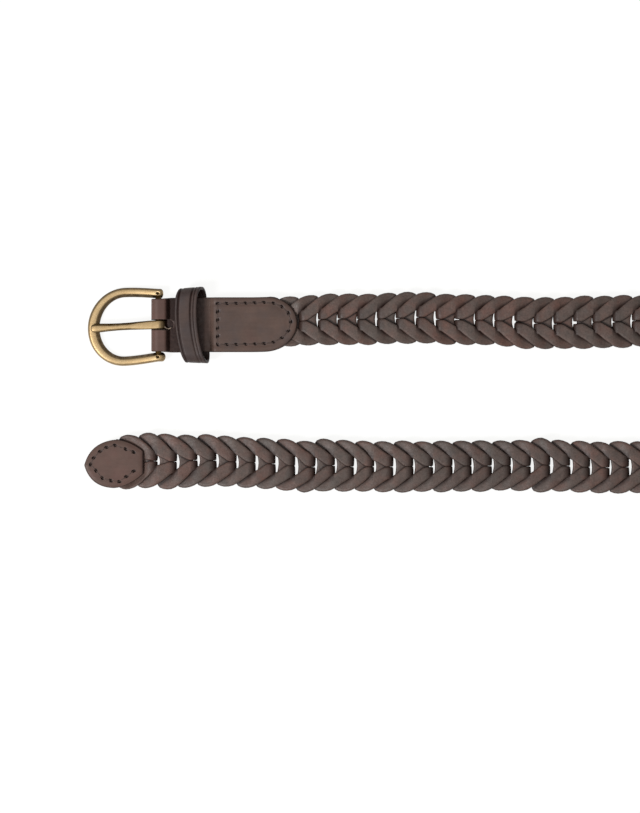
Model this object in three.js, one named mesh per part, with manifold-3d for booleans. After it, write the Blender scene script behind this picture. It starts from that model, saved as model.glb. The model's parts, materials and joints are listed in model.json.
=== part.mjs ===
// Braided leather belt with a horseshoe buckle, lying flat in one plain loop.
// The braid is a chain of slit leather links, each folded through the eyes of the one before.
// Lengths are millimetres and +Z is up. The bar of the buckle lies along Y, the belt leaves it along +X.
import * as THREE from 'three';
import { mergeVertices } from 'three/addons/utils/BufferGeometryUtils.js';
import Module from 'manifold-3d';

const wasm = await Module();
wasm.setup();

// Leather
const LEATHER = 1.6;
const FIT_GAP = 0.3;

// Braid
const LINK_COUNT = 95;
const LINK_PITCH = 9.08;
const LINK_PITCHES_LONG = 2.03;
const BRAID_WIDTH = 23.6;
const BRAID_HEIGHT = 6.6;
const EYE_HEIGHT = 3.0;
const FIRST_FOLD = 37.4;
const LAST_FOLD_TO_TIP = 24.7;
const BRAID_SHIFT = 2.0;

// Lay of the belt: two parallel strips joined by a keyhole turn
const STRIP_SPACING = 67.2;
const TIP_PAST_BAR = 34.2;
const TURN_RADIUS = 55;
const EASE_RADIUS = 120;
const BOW_HEIGHT = 2.3;
const BOW_FROM_TIP = 46;
const BOW_REACH = 37;
const CUT_IN_PITCH = 0.45;
const CUT_REACH = 3;

// Buckle frame
const BAR_DIAMETER = 2.8;
const FRAME_REACH = 32.7;
const FRAME_WIDTH = 36.1;
const BOW_LENGTH = 17.1;
const BOW_BAND = 5.4;
const ARM_BAND = 4.1;
const FRAME_HEIGHT = 3.4;
const LUG_LENGTH = 3.4;
const LUG_GAP = 0.45;
const FRAME_SKEW = 0.03;
const BOW_STEPS = 14;

// Prong
const PRONG_THICKNESS = 1.5;
const PRONG_ROOT_WIDTH = 3.7;
const PRONG_WAIST_WIDTH = 2.8;
const PRONG_TIP_WIDTH = 3.9;
const PRONG_TIP_FROM_EDGE = 1.4;
const PRONG_WRAP_DEGREES = 270;
const PRONG_WRAP_STEPS = 9;

// Strap that holds the buckle
const CHAPE_WIDTH = 24.6;
const NECK_HEIGHT = 2.9;
const NECK_START = 5.0;
const NECK_END = 24.3;
const NECK_RAMP = 2.4;
const TAB_END = 64.1;
const TAB_ROUNDING = 14.8;
const SLOT_SIDE_GAP = 0.5;
const SLOT_END = 7.8;

// Keeper
const KEEPER_WIDTH = 35.2;
const KEEPER_HEIGHT = 12.5;
const KEEPER_BAND = 9.9;
const KEEPER_CORNER = 5.2;
const KEEPER_FOOT = 13.6;
const KEEPER_LEAN = 6.0;
const KEEPER_TWIST = 1.65;
const KEEPER_BULGE = 2.55;
const KEEPER_CORNER_STEPS = 4;

// Tip patch
const PATCH_LENGTH = 27.3;
const PATCH_WIDTH = 22.3;
const PATCH_END_WIDTH = 10.4;

const MID_HEIGHT = BRAID_HEIGHT / 2;
const LINK_LENGTH = LINK_PITCHES_LONG * LINK_PITCH;
const TONGUE_HEIGHT = BRAID_HEIGHT - 2 * (LEATHER + FIT_GAP);
const BAR_RADIUS = BAR_DIAMETER / 2;
const BORE_RADIUS = BAR_RADIUS + FIT_GAP;
const FOLD_RADIUS = BORE_RADIUS + LEATHER;
const ROUTE_LENGTH = FIRST_FOLD + (LINK_COUNT - 1) * LINK_PITCH + LAST_FOLD_TO_TIP;

// Half outline of one link: shares of its length and of half the braid's width
const LINK_OUTLINE = [
  { along: 0.00, across: 0.305 },
  { along: 0.54, across: 0.915 },
  { along: 0.77, across: 1.00 },
  { along: 1.00, across: 0.90 },
  { along: 0.89, across: 0.42 },
];
// Half outline of the eye in it
const EYE_OUTLINE = [
  { along: 0.20, across: 0.0 },
  { along: 0.59, across: 0.51 },
];

const darkBrownLeather = new THREE.MeshStandardMaterial({ color: 0x5c4f4a, roughness: 0.6, metalness: 0 });
const smoothBrownLeather = new THREE.MeshStandardMaterial({ color: 0x5a4a45, roughness: 0.5, metalness: 0 });
const brass = new THREE.MeshStandardMaterial({ color: 0xd0a86c, roughness: 0.35, metalness: 1 });

// Lines and arcs of the belt's centre line, from the bar to the tip
function centreLine() {
  const ease = Math.acos((STRIP_SPACING / 2 + EASE_RADIUS) / (TURN_RADIUS + EASE_RADIUS));
  const turn = Math.PI + 2 * ease;
  const turnLength = 2 * EASE_RADIUS * ease + TURN_RADIUS * turn;
  const firstStraight = (ROUTE_LENGTH - turnLength - TIP_PAST_BAR) / 2;
  return [
    { length: firstStraight, bend: 0 },
    { length: EASE_RADIUS * ease, bend: 1 / EASE_RADIUS },
    { length: TURN_RADIUS * turn, bend: -1 / TURN_RADIUS },
    { length: EASE_RADIUS * ease, bend: 1 / EASE_RADIUS },
    { length: firstStraight + TIP_PAST_BAR, bend: 0 },
  ];
}

// Point and heading after going a length along a stretch of constant bend
function advance(from, length, bend) {
  if (bend === 0) {
    const x = from.x + length * Math.cos(from.heading);
    const y = from.y + length * Math.sin(from.heading);
    return { x, y, heading: from.heading };
  }
  const heading = from.heading + length * bend;
  const x = from.x + (Math.sin(heading) - Math.sin(from.heading)) / bend;
  const y = from.y - (Math.cos(heading) - Math.cos(from.heading)) / bend;
  return { x, y, heading };
}

const STRETCHES = centreLine();

function stationAt(distance) {
  let place = { x: 0, y: BRAID_SHIFT, heading: 0 };
  let left = distance;
  for (const [index, stretch] of STRETCHES.entries()) {
    const last = index === STRETCHES.length - 1;
    const step = last ? left : Math.min(left, stretch.length);
    place = advance(place, step, stretch.bend);
    left -= step;
    if (left === 0) break;
  }
  return place;
}

// The tip strip bows a little sideways near its end
function sideBow(distance) {
  const fromCrest = (ROUTE_LENGTH - distance - BOW_FROM_TIP) / BOW_REACH;
  return -BOW_HEIGHT * Math.exp(-fromCrest * fromCrest);
}

function onRoute(distance, across, height) {
  const { x, y, heading } = stationAt(distance);
  const side = across + sideBow(distance);
  return [x - side * Math.sin(heading), y + side * Math.cos(heading), height];
}

// Closed geometry from corner points and triangles
function closedGeometry(points, triangles) {
  const geometry = new THREE.BufferGeometry();
  geometry.setAttribute('position', new THREE.Float32BufferAttribute(points.flat(), 3));
  geometry.setIndex(triangles.flat());
  return geometry;
}

// Plate between a lower and an upper face with the same outline and holes.
// place(point, side) gives a corner of the lower (-1) or upper (+1) face.
function plate(outline, holes, place) {
  const corners = [...outline, ...holes.flat()];
  const caps = THREE.ShapeUtils.triangulateShape(outline, holes);
  const points = [...corners.map((p) => place(p, -1)), ...corners.map((p) => place(p, 1))];
  const up = corners.length;
  const triangles = [];
  for (const [a, b, c] of caps) {
    triangles.push([c, b, a], [a + up, b + up, c + up]);
  }
  let start = 0;
  for (const loop of [outline, ...holes]) {
    for (let i = 0; i < loop.length; i += 1) {
      const a = start + i;
      const b = start + (i + 1) % loop.length;
      triangles.push([a, b, b + up], [a, b + up, a + up]);
    }
    start += loop.length;
  }
  return closedGeometry(points, triangles);
}

// Skin through a row of sections with the same number of corners, capped or closed on itself
function loft(sections, ring = false) {
  const count = sections[0].length;
  const triangles = [];
  const spans = ring ? sections.length : sections.length - 1;
  for (let i = 0; i < spans; i += 1) {
    const here = i * count;
    const next = ((i + 1) % sections.length) * count;
    for (let j = 0; j < count; j += 1) {
      const k = (j + 1) % count;
      triangles.push([here + j, here + k, next + k], [here + j, next + k, next + j]);
    }
  }
  if (!ring) {
    const end = (sections.length - 1) * count;
    for (let j = 1; j < count - 1; j += 1) {
      triangles.push([0, j + 1, j], [end, end + j, end + j + 1]);
    }
  }
  return closedGeometry(sections.flat(), triangles);
}

function solidOf(geometry) {
  const plain = new wasm.Mesh({
    numProp: 3,
    vertProperties: new Float32Array(geometry.getAttribute('position').array),
    triVerts: new Uint32Array(geometry.getIndex().array),
  });
  return new wasm.Manifold(plain);
}

function mergedSolid(geometry) {
  const bare = geometry.clone();
  bare.deleteAttribute('normal');
  bare.deleteAttribute('uv');
  return solidOf(mergeVertices(bare));
}

function named(name, solid, material) {
  const { vertProperties, triVerts } = solid.getMesh();
  const geometry = new THREE.BufferGeometry();
  geometry.setAttribute('position', new THREE.BufferAttribute(new Float32Array(vertProperties), 3));
  geometry.setIndex(new THREE.BufferAttribute(new Uint32Array(triVerts), 1));
  geometry.computeVertexNormals();
  const mesh = new THREE.Mesh(geometry, material);
  mesh.name = name;
  return mesh;
}

// Outline points of a shape, counter-clockwise
function outlineOf(shape, divisions) {
  const points = shape.getPoints(divisions);
  if (points[0].distanceTo(points[points.length - 1]) < 1e-6) points.pop();
  return THREE.ShapeUtils.isClockWise(points) ? points.reverse() : points;
}

// Straight prism over an outline in the XY plane
function prism(outline, low, high) {
  return solidOf(plate(outline, [], (p, side) => [p.x, p.y, side < 0 ? low : high]));
}

// One folded link as a wedge: full height at its fold, thin at its far end
function linkSolid(fold) {
  const half = LINK_OUTLINE.map((row) => [row.along * LINK_LENGTH, row.across * BRAID_WIDTH / 2]);
  const outline = [
    ...half.map(([x, w]) => new THREE.Vector2(x, -w)),
    ...half.reverse().map(([x, w]) => new THREE.Vector2(x, w)),
  ];
  const [inner, outer] = EYE_OUTLINE.map((row) => [row.along * LINK_LENGTH, row.across * BRAID_WIDTH / 2]);
  const eye = [
    new THREE.Vector2(inner[0], inner[1]),
    new THREE.Vector2(outer[0], outer[1]),
    new THREE.Vector2(outer[0], -outer[1]),
  ];
  const halfHeight = (x) => THREE.MathUtils.lerp(BRAID_HEIGHT, EYE_HEIGHT, x / LINK_LENGTH) / 2;
  const place = (p, side) => onRoute(fold + p.x, p.y, MID_HEIGHT + side * halfHeight(p.x));
  return solidOf(plate(outline, [eye], place));
}

function linksBetween(first, last) {
  let chain = linkSolid(FIRST_FOLD + first * LINK_PITCH);
  for (let i = first + 1; i <= last; i += 1) {
    chain = chain.add(linkSolid(FIRST_FOLD + i * LINK_PITCH));
  }
  return chain;
}

// Block across the belt between two stations, to part the two halves of the chain
function blockBetween(start, end) {
  const corners = [[start, -1], [end, -1], [end, 1], [start, 1]];
  const outline = corners.map(([distance, side]) => {
    const [x, y] = onRoute(distance, side * BRAID_WIDTH, 0);
    return new THREE.Vector2(x, y);
  });
  return prism(outline, -BRAID_HEIGHT, 2 * BRAID_HEIGHT);
}

// Plan of the tab: straight sides and an elliptic end, grown by a margin
function tabOutline(start, margin) {
  const side = CHAPE_WIDTH / 2 + margin;
  const shape = new THREE.Shape();
  shape.moveTo(start, -side);
  shape.lineTo(TAB_END - TAB_ROUNDING, -side);
  shape.absellipse(TAB_END - TAB_ROUNDING, 0, TAB_ROUNDING + margin, side, -Math.PI / 2, Math.PI / 2);
  shape.lineTo(start, side);
  return outlineOf(shape, 12);
}

// Plan of the tip patch, pointed at the tip, in distance back from the tip and distance across
function patchOutline(margin) {
  const side = PATCH_WIDTH / 2 + margin;
  const endSide = PATCH_END_WIDTH / 2 + margin;
  const shape = new THREE.Shape();
  shape.moveTo(-margin, 0);
  shape.quadraticCurveTo(PATCH_LENGTH * 0.09 - margin, side * 0.78, PATCH_LENGTH * 0.5, side);
  shape.quadraticCurveTo(PATCH_LENGTH * 0.74, side, PATCH_LENGTH + margin, endSide);
  shape.lineTo(PATCH_LENGTH + margin, -endSide);
  shape.quadraticCurveTo(PATCH_LENGTH * 0.74, -side, PATCH_LENGTH * 0.5, -side);
  shape.quadraticCurveTo(PATCH_LENGTH * 0.09 - margin, -side * 0.78, -margin, 0);
  return outlineOf(shape, 5);
}

function patchPlate(margin, low, high) {
  const place = (p, side) => onRoute(ROUTE_LENGTH - p.x, -p.y, side < 0 ? low : high);
  return solidOf(plate(patchOutline(margin), [], place));
}

// Braid: chain of links, thinned where the tab or the patch lies over it, with a flat end inside each
function braidHalves() {
  const middle = Math.floor(LINK_COUNT / 2);
  const cut = FIRST_FOLD + (middle + CUT_IN_PITCH) * LINK_PITCH;
  const low = MID_HEIGHT - TONGUE_HEIGHT / 2;
  const high = MID_HEIGHT + TONGUE_HEIGHT / 2;
  const aboveAndBelow = [[-BRAID_HEIGHT, low], [high, 2 * BRAID_HEIGHT]];

  let buckleHalf = linksBetween(0, middle + 1);
  for (const [from, to] of aboveAndBelow) {
    buckleHalf = buckleHalf.subtract(prism(tabOutline(NECK_END, FIT_GAP), from, to));
  }
  const tongue = tabOutline(NECK_END + NECK_RAMP + LEATHER, -FIT_GAP);
  buckleHalf = buckleHalf.add(prism(tongue, low, high));
  buckleHalf = buckleHalf.subtract(blockBetween(cut - FIT_GAP / 2, cut + CUT_REACH * LINK_PITCH));

  let tipHalf = linksBetween(middle - 1, LINK_COUNT - 1);
  for (const [from, to] of aboveAndBelow) {
    tipHalf = tipHalf.subtract(patchPlate(FIT_GAP, from, to));
  }
  tipHalf = tipHalf.add(patchPlate(-FIT_GAP, low, high));
  tipHalf = tipHalf.subtract(blockBetween(cut - CUT_REACH * LINK_PITCH, cut + FIT_GAP / 2));
  return [buckleHalf, tipHalf];
}

// Side view of the folded strap: bight round the bar, pressed neck, two leaves apart at the tab
function chapeProfile() {
  const neck = NECK_HEIGHT / 2;
  const open = BRAID_HEIGHT / 2;
  const inside = open - LEATHER;
  const bight = new THREE.Shape();
  bight.moveTo(TAB_END + 1, inside);
  bight.lineTo(TAB_END + 1, open);
  bight.lineTo(NECK_END + NECK_RAMP, open);
  bight.lineTo(NECK_END, neck);
  bight.lineTo(NECK_START, neck);
  bight.absarc(0, 0, FOLD_RADIUS, Math.PI * 0.27, Math.PI * 1.73);
  bight.lineTo(NECK_START, -neck);
  bight.lineTo(NECK_END, -neck);
  bight.lineTo(NECK_END + NECK_RAMP, -open);
  bight.lineTo(TAB_END + 1, -open);
  bight.lineTo(TAB_END + 1, -inside);
  bight.lineTo(NECK_END + NECK_RAMP, -inside);
  bight.lineTo(NECK_END + NECK_RAMP, inside);
  return outlineOf(bight, 14);
}

function chapeStrap() {
  const side = CHAPE_WIDTH / 2;
  const place = (p, face) => [p.x, -face * side, MID_HEIGHT + p.y];
  const folded = solidOf(plate(chapeProfile(), [], place));
  const plan = prism(tabOutline(-2 * FOLD_RADIUS, 0), -1, BRAID_HEIGHT + 1);
  const bore = new THREE.CylinderGeometry(BORE_RADIUS, BORE_RADIUS, CHAPE_WIDTH + 2, 16);
  bore.translate(0, 0, MID_HEIGHT);
  const slotSide = PRONG_ROOT_WIDTH / 2 + SLOT_SIDE_GAP;
  const slotShape = new THREE.Shape();
  slotShape.moveTo(-2 * FOLD_RADIUS, -slotSide);
  slotShape.lineTo(SLOT_END - slotSide, -slotSide);
  slotShape.absarc(SLOT_END - slotSide, 0, slotSide, -Math.PI / 2, Math.PI / 2);
  slotShape.lineTo(-2 * FOLD_RADIUS, slotSide);
  const slot = prism(outlineOf(slotShape, 6), -1, BRAID_HEIGHT + 1);
  return folded.intersect(plan).subtract(mergedSolid(bore)).subtract(slot);
}

// Keeper: a flattened loop, its top leaning to the buckle and its edges bowed
function keeperLoop() {
  const halfWidth = KEEPER_WIDTH / 2;
  const loopSection = (y, z, inY, inZ) => {
    const shift = (z / KEEPER_HEIGHT)
      * (-KEEPER_LEAN - KEEPER_TWIST * y / halfWidth + KEEPER_BULGE * (y / halfWidth) ** 2);
    const left = KEEPER_FOOT + shift;
    const right = left + KEEPER_BAND;
    return [[left, y, z], [right, y, z], [right, inY, inZ], [left, inY, inZ]];
  };
  const corners = [
    { y: halfWidth - KEEPER_CORNER, z: KEEPER_HEIGHT - KEEPER_CORNER, start: 0 },
    { y: -halfWidth + KEEPER_CORNER, z: KEEPER_HEIGHT - KEEPER_CORNER, start: 1 },
    { y: -halfWidth + KEEPER_CORNER, z: KEEPER_CORNER, start: 2 },
    { y: halfWidth - KEEPER_CORNER, z: KEEPER_CORNER, start: 3 },
  ];
  const sections = [];
  for (const corner of corners) {
    for (let i = 0; i <= KEEPER_CORNER_STEPS; i += 1) {
      const angle = (corner.start + i / KEEPER_CORNER_STEPS) * Math.PI / 2;
      const [dy, dz] = [Math.cos(angle), Math.sin(angle)];
      const inner = KEEPER_CORNER - LEATHER;
      sections.push(loopSection(
        corner.y + KEEPER_CORNER * dy, corner.z + KEEPER_CORNER * dz,
        corner.y + inner * dy, corner.z + inner * dz,
      ));
    }
    if (corner.start % 2 === 0) {
      const edge = corner.start === 0 ? KEEPER_HEIGHT : 0;
      const inEdge = corner.start === 0 ? KEEPER_HEIGHT - LEATHER : LEATHER;
      sections.push(loopSection(0, edge, 0, inEdge));
    }
  }
  return solidOf(loft(sections.reverse(), true));
}

// Half widths of the frame, outside and inside, along one arm: 0 at the bow's widest place, 1 at the bar
function armSides(share) {
  const outside = THREE.MathUtils.lerp(FRAME_WIDTH / 2, CHAPE_WIDTH / 2 + LUG_GAP + ARM_BAND, share);
  return [outside, outside - ARM_BAND];
}

// Bevelled section of the frame between an outer and an inner point of its plan
function frameSection(outer, inner, base) {
  const at = (share, height) => {
    const x = THREE.MathUtils.lerp(outer[0], inner[0], share);
    const y = THREE.MathUtils.lerp(outer[1], inner[1], share);
    return [x, y + FRAME_SKEW * x, base + height * FRAME_HEIGHT];
  };
  return [at(0.04, 0), at(0, 0.45), at(0.25, 1), at(0.75, 1), at(1, 0.45), at(0.96, 0)];
}

function buckleFrame() {
  const centre = -FRAME_REACH + BOW_LENGTH;
  const lift = MID_HEIGHT - FRAME_HEIGHT / 2;
  const baseAt = (x) => lift * THREE.MathUtils.clamp((x - centre) / -centre, 0, 1);
  const arm = (side) => [0.25, 0.6, 1].map((share) => {
    const x = centre * (1 - share);
    const [outside, inside] = armSides(share);
    return frameSection([x, side * outside], [x, side * inside], baseAt(x));
  });
  const lug = (side) => [0.7, 1].map((share) => {
    const [outside, inside] = armSides(1);
    const pinch = share === 1 ? ARM_BAND / 4 : 0;
    const x = share * LUG_LENGTH;
    return frameSection([x, side * (outside - pinch)], [x, side * (inside + pinch / 2)], lift);
  });
  const bow = [];
  for (let i = 0; i <= BOW_STEPS; i += 1) {
    const angle = Math.PI / 2 + Math.PI * i / BOW_STEPS;
    const [c, s] = [Math.cos(angle), Math.sin(angle)];
    const outer = [centre + BOW_LENGTH * c, FRAME_WIDTH / 2 * s];
    const inner = [centre + (BOW_LENGTH - BOW_BAND) * c, (FRAME_WIDTH / 2 - ARM_BAND) * s];
    bow.push(frameSection(outer, inner, 0));
  }
  const sections = [
    ...lug(-1).reverse(), ...arm(-1).reverse(), ...bow.reverse(), ...arm(1), ...lug(1),
  ];
  const bar = new THREE.CylinderGeometry(BAR_RADIUS, BAR_RADIUS, CHAPE_WIDTH + 2 * LUG_GAP + ARM_BAND, 12);
  bar.translate(0, 0, MID_HEIGHT);
  return solidOf(loft(sections)).add(mergedSolid(bar));
}

// Faceted section of the prong, square to its path in the XZ plane
function prongSection(x, z, angle, width) {
  const [c, s] = [Math.cos(angle), Math.sin(angle)];
  const at = (side, rise) => {
    const up = rise * PRONG_THICKNESS;
    return [x - s * up, side * width / 2 + FRAME_SKEW * Math.min(x, 0), z + c * up];
  };
  return [at(-1, -0.5), at(1, -0.5), at(1, 0.1), at(0.5, 0.5), at(-0.5, 0.5), at(-1, 0.1)];
}

function buckleProng() {
  const radius = BORE_RADIUS + PRONG_THICKNESS / 2;
  const tipX = -FRAME_REACH + PRONG_TIP_FROM_EDGE;
  const tipZ = FRAME_HEIGHT + FIT_GAP + PRONG_THICKNESS / 2;
  const rootZ = MID_HEIGHT + radius;
  const slope = Math.atan2(rootZ - tipZ, -tipX);
  const alongBar = [
    { share: 0, width: 0.55 * PRONG_TIP_WIDTH },
    { share: 0.04, width: PRONG_TIP_WIDTH },
    { share: 0.2, width: PRONG_TIP_WIDTH },
    { share: 0.32, width: PRONG_WAIST_WIDTH },
    { share: 0.55, width: PRONG_WAIST_WIDTH },
    { share: 0.8, width: PRONG_ROOT_WIDTH },
  ];
  const sections = alongBar.map(({ share, width }) => {
    const x = tipX * (1 - share);
    const z = THREE.MathUtils.lerp(tipZ, rootZ, share);
    return prongSection(x, z, slope, width);
  });
  for (let i = 0; i <= PRONG_WRAP_STEPS; i += 1) {
    const angle = -THREE.MathUtils.degToRad(PRONG_WRAP_DEGREES) * i / PRONG_WRAP_STEPS;
    const x = -radius * Math.sin(angle);
    const z = MID_HEIGHT + radius * Math.cos(angle);
    sections.push(prongSection(x, z, angle, PRONG_ROOT_WIDTH));
  }
  return solidOf(loft(sections));
}

const [buckleHalf, tipHalf] = braidHalves();
const leafLow = MID_HEIGHT - BRAID_HEIGHT / 2;
const leafHigh = MID_HEIGHT + BRAID_HEIGHT / 2;
const belt = new THREE.Group();
belt.add(
  named('buckle_frame', buckleFrame(), brass),
  named('buckle_prong', buckleProng(), brass),
  named('chape_strap', chapeStrap(), smoothBrownLeather),
  named('keeper_loop', keeperLoop(), smoothBrownLeather),
  named('braid_buckle_half', buckleHalf, darkBrownLeather),
  named('braid_tip_half', tipHalf, darkBrownLeather),
  named('tip_patch_front', patchPlate(0, leafHigh - LEATHER, leafHigh), smoothBrownLeather),
  named('tip_patch_back', patchPlate(0, leafLow, leafLow + LEATHER), smoothBrownLeather),
);

// The origin is the middle of the belt's box, on the surface it lies on
const box = new THREE.Box3().setFromObject(belt);
const middle = box.getCenter(new THREE.Vector3());
belt.position.set(-middle.x, -middle.y, -box.min.z);

export default belt;
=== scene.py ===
import json
import math
from functools import partial

import bmesh
import bpy
import numpy as np
from bpy.props import FloatProperty, FloatVectorProperty, IntProperty, PointerProperty
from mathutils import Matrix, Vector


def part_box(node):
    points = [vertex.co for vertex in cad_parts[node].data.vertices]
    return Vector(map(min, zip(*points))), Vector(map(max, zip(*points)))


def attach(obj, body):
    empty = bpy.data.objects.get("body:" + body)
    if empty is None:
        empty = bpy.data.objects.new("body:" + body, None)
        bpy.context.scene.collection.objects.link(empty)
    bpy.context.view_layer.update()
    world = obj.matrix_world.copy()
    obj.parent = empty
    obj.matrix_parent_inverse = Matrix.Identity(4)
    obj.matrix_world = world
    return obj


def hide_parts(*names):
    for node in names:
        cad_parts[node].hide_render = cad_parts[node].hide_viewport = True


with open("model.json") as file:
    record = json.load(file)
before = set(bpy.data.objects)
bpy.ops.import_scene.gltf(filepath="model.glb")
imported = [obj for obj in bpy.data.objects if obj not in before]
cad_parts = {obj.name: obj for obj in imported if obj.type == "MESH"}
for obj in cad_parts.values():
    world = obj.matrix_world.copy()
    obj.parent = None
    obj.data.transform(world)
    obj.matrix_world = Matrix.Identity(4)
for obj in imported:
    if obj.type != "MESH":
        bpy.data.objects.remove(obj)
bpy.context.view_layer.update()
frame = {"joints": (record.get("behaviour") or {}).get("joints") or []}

bl_info = {
    "name": "Braided Leather Belt",
    "version": (1, 0, 0),
    "blender": (4, 5, 0),
    "location": "View3D > Sidebar > Belt",
    "description": "Dresses a braided leather belt with a horseshoe buckle round its fixed frame",
    "category": "Add Mesh",
}

# The box of the plain model, before anything is dressed
# Middle of the buckle's bar, where both hinges lie
BAR = np.array(frame["joints"][0]["pos_m"], float)
BELT_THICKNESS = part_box("tip_patch_front")[1].z
MIDDLE = BELT_THICKNESS / 2
MM = 0.001
SEED = 11
# Rows of a link's mesh round its fold and along each of its strands
FOLD_STEPS = 4
STRAND_STEPS = 17

# Half of one link in plan, from the top of its fold to the middle of its eye.
# along is in pitches, across in halves of the braid's width, for the inner and the outer edge;
# level is the height of the leather's middle above the belt's middle, in thicknesses.
LINK_STATIONS = np.array(
    [
        (0.264, 0.004, 0.250, 0.470, 1.50),
        (0.420, 0.018, 0.430, 0.575, 1.50),
        (0.620, 0.115, 0.620, 0.680, 1.50),
        (0.835, 0.238, 0.850, 0.805, 1.50),
        (1.020, 0.318, 1.110, 0.928, 1.42),
        (1.160, 0.392, 1.430, 0.995, 1.02),
        (1.245, 0.430, 1.720, 0.990, 0.66),
        (1.275, 0.400, 1.970, 0.915, 0.52),
        (1.255, 0.350, 2.050, 0.750, 0.50),
        (1.215, 0.215, 1.970, 0.430, 0.50),
        (1.190, 0.100, 1.905, 0.190, 0.50),
        (1.180, 0.000, 1.880, 0.000, 0.50),
    ],
    dtype=[(name, float) for name in ("in_along", "in_across", "out_along", "out_across", "level")],
)
# Round the cut section of a strand: place across it and height of its skin, as shares of its half sizes
STRAND_SECTION = np.array(
    [
        (-1.000, 0.00), (-0.965, 0.62), (-0.880, 0.93), (-0.640, 1.02), (0.000, 1.10),
        (0.640, 1.02), (0.880, 0.93), (0.965, 0.62), (1.000, 0.00), (0.940, -0.80),
        (0.700, -1.00), (0.000, -1.00), (-0.700, -1.00), (-0.940, -0.80),
    ],
    dtype=[("across", float), ("height", float)],
)
# How the braid strays: distance from the bar, way to the left of the route, spread of the links and how far
# their eyes are pressed shut
BRAID_STRAY = np.array(
    [
        (50, -0.5, 0.97, 0.4), (64, -0.4, 0.98, 0.4), (72, 0.3, 1.00, 0.4), (80, 0.8, 1.01, 0.2),
        (98, 0.7, 1.01, 0.2), (114, 1.4, 1.02, 0.7), (126, 1.3, 1.00, 0.1), (144, 0.3, 1.00, 0.8),
        (153, 0.4, 1.00, 0.3), (170, -1.0, 1.01, 1.0), (188, -1.0, 1.04, 0.2), (209, -0.4, 1.02, 0.6),
        (228, 0.0, 1.01, 0.3), (675, 0.5, 1.02, 0.0), (690, 0.3, 1.01, 0.0), (704, -0.8, 1.06, 0.0),
        (712, -0.3, 1.02, 0.0), (765, 0.2, 1.00, 0.2), (774, 0.2, 1.00, -0.6), (783, 0.1, 1.00, 1.2),
        (792, 0.0, 1.00, -0.4), (801, -0.2, 1.01, 0.2), (806, -0.3, 1.01, 0.0), (814, 0.4, 1.02, -0.5),
        (828, -0.3, 1.01, -0.2), (838, -0.6, 1.02, 0.2), (852, -0.6, 1.02, 0.5), (866, -0.3, 1.04, 0.9),
        (875, 0.1, 1.08, 0.6), (884, -0.8, 1.10, 1.9), (894, -0.4, 1.07, 2.0),
    ],
    dtype=[("distance", float), ("left", float), ("spread", float), ("shut", float)],
)
# Holes round the tip patch: from the tip, and to the left of the route
PATCH_HOLES = np.array(
    [
        (22.8, 3.8), (19.5, 6.1), (16.2, 8.3), (12.3, 7.6), (8.3, 6.2), (5.4, 2.7), (3.0, -0.3),
        (4.4, -3.3), (7.3, -6.1), (10.3, -7.8), (14.2, -8.6), (19.1, -6.6), (22.8, -5.0),
    ],
    dtype=[("from_tip", float), ("left", float)],
)
# Rings of a punched stitch hole: share of the awl's oval, and level from the leather's face
HOLE_RINGS = np.array(
    [(1.1, 1.0), (1.1, 0.0), (0.9, -0.25), (0.7, -0.95)], dtype=[("share", float), ("level", float)]
)
# Rings of the dimple in a lug: radius, and level from the lug's top
DIMPLE_RINGS = np.array(
    [(1.5, 1.0), (0.85, 0.07), (0.7, -0.15), (0.3, -0.4)], dtype=[("radius", float), ("level", float)]
)
# Lines pressed into the keeper: place from the edge by the buckle or, below 0, from the other edge, half width,
# depth at the middle of the belt and gain of depth to the left. The depth also sets the painted shade along
# each line
KEEPER_LINES = np.array(
    [(1.5, 0.45, 0.95, 0.35), (-3.0, 0.42, 0.75, 0.40), (-1.6, 0.28, 0.50, 0.20)],
    dtype=[("place", float), ("width", float), ("depth", float), ("gain", float)],
)
# How far the keeper's band is crowned between its edges
KEEPER_CROWN = 0.25 * MM
# How far the links stray at random: turn, slip along the route, spread of their strands, draw of their far
# ends, and parting of the strands at their folds
LINK_TURN = 0.020
LINK_SLIP = 0.16 * MM
LINK_SPREAD = 0.012
LINK_DRAW = 0.18 * MM
LINK_PARTING = 0.22 * MM
# Distance from the middle at which pressed strands shut an eye most
EYE_REACH = 3.6 * MM
# Half axes and slant of the awl that punches the stitch holes
AWL_LONG = 0.95 * MM
AWL_SHORT = 0.64 * MM
AWL_SLANT = math.radians(-24)
# Width and drop of the soft rims of the tab and the patch, and of the dip along the tab's seam
TAB_RIM = (1.5 * MM, 0.45 * MM)
PATCH_RIM = (2.3 * MM, 0.6 * MM)
SEAM_DIP = (0.75 * MM, 0.22 * MM)
# Height of the lugs above the surface that the belt lies on, under the frame's metal
LUG_RISE = 1.6 * MM
# Middle and height of the picture on the floor, and the camera's height above it
PICTURE_MIDDLE = np.array([-0.11695, -0.00601, 0.0])
PICTURE_HEIGHT = 0.3764
CAMERA_DISTANCE = 2.5
FLOOR_HALF = 6.0
FLOOR_LEVEL = -0.0005
# Round the cast section of the frame, from its outer to its inner side and back underneath; tarnish darkens all
# but the top, partly as tarnish and partly as painted shade
FRAME_SECTION = np.array(
    [
        (0.000, 0.12, 0.60), (0.000, 0.50, 0.60), (0.035, 0.70, 0.60), (0.100, 0.88, 0.50),
        (0.175, 0.97, 0.15), (0.260, 1.00, 0.00), (0.620, 1.00, 0.00), (0.690, 0.97, 0.15),
        (0.760, 0.82, 0.95), (0.880, 0.58, 1.00), (1.000, 0.32, 1.00), (1.000, 0.12, 1.00),
        (0.950, 0.02, 0.80), (0.860, 0.00, 0.60), (0.140, 0.00, 0.60), (0.050, 0.02, 0.60),
    ],
    dtype=[("across", float), ("height", float), ("tarnish", float)],
)
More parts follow.
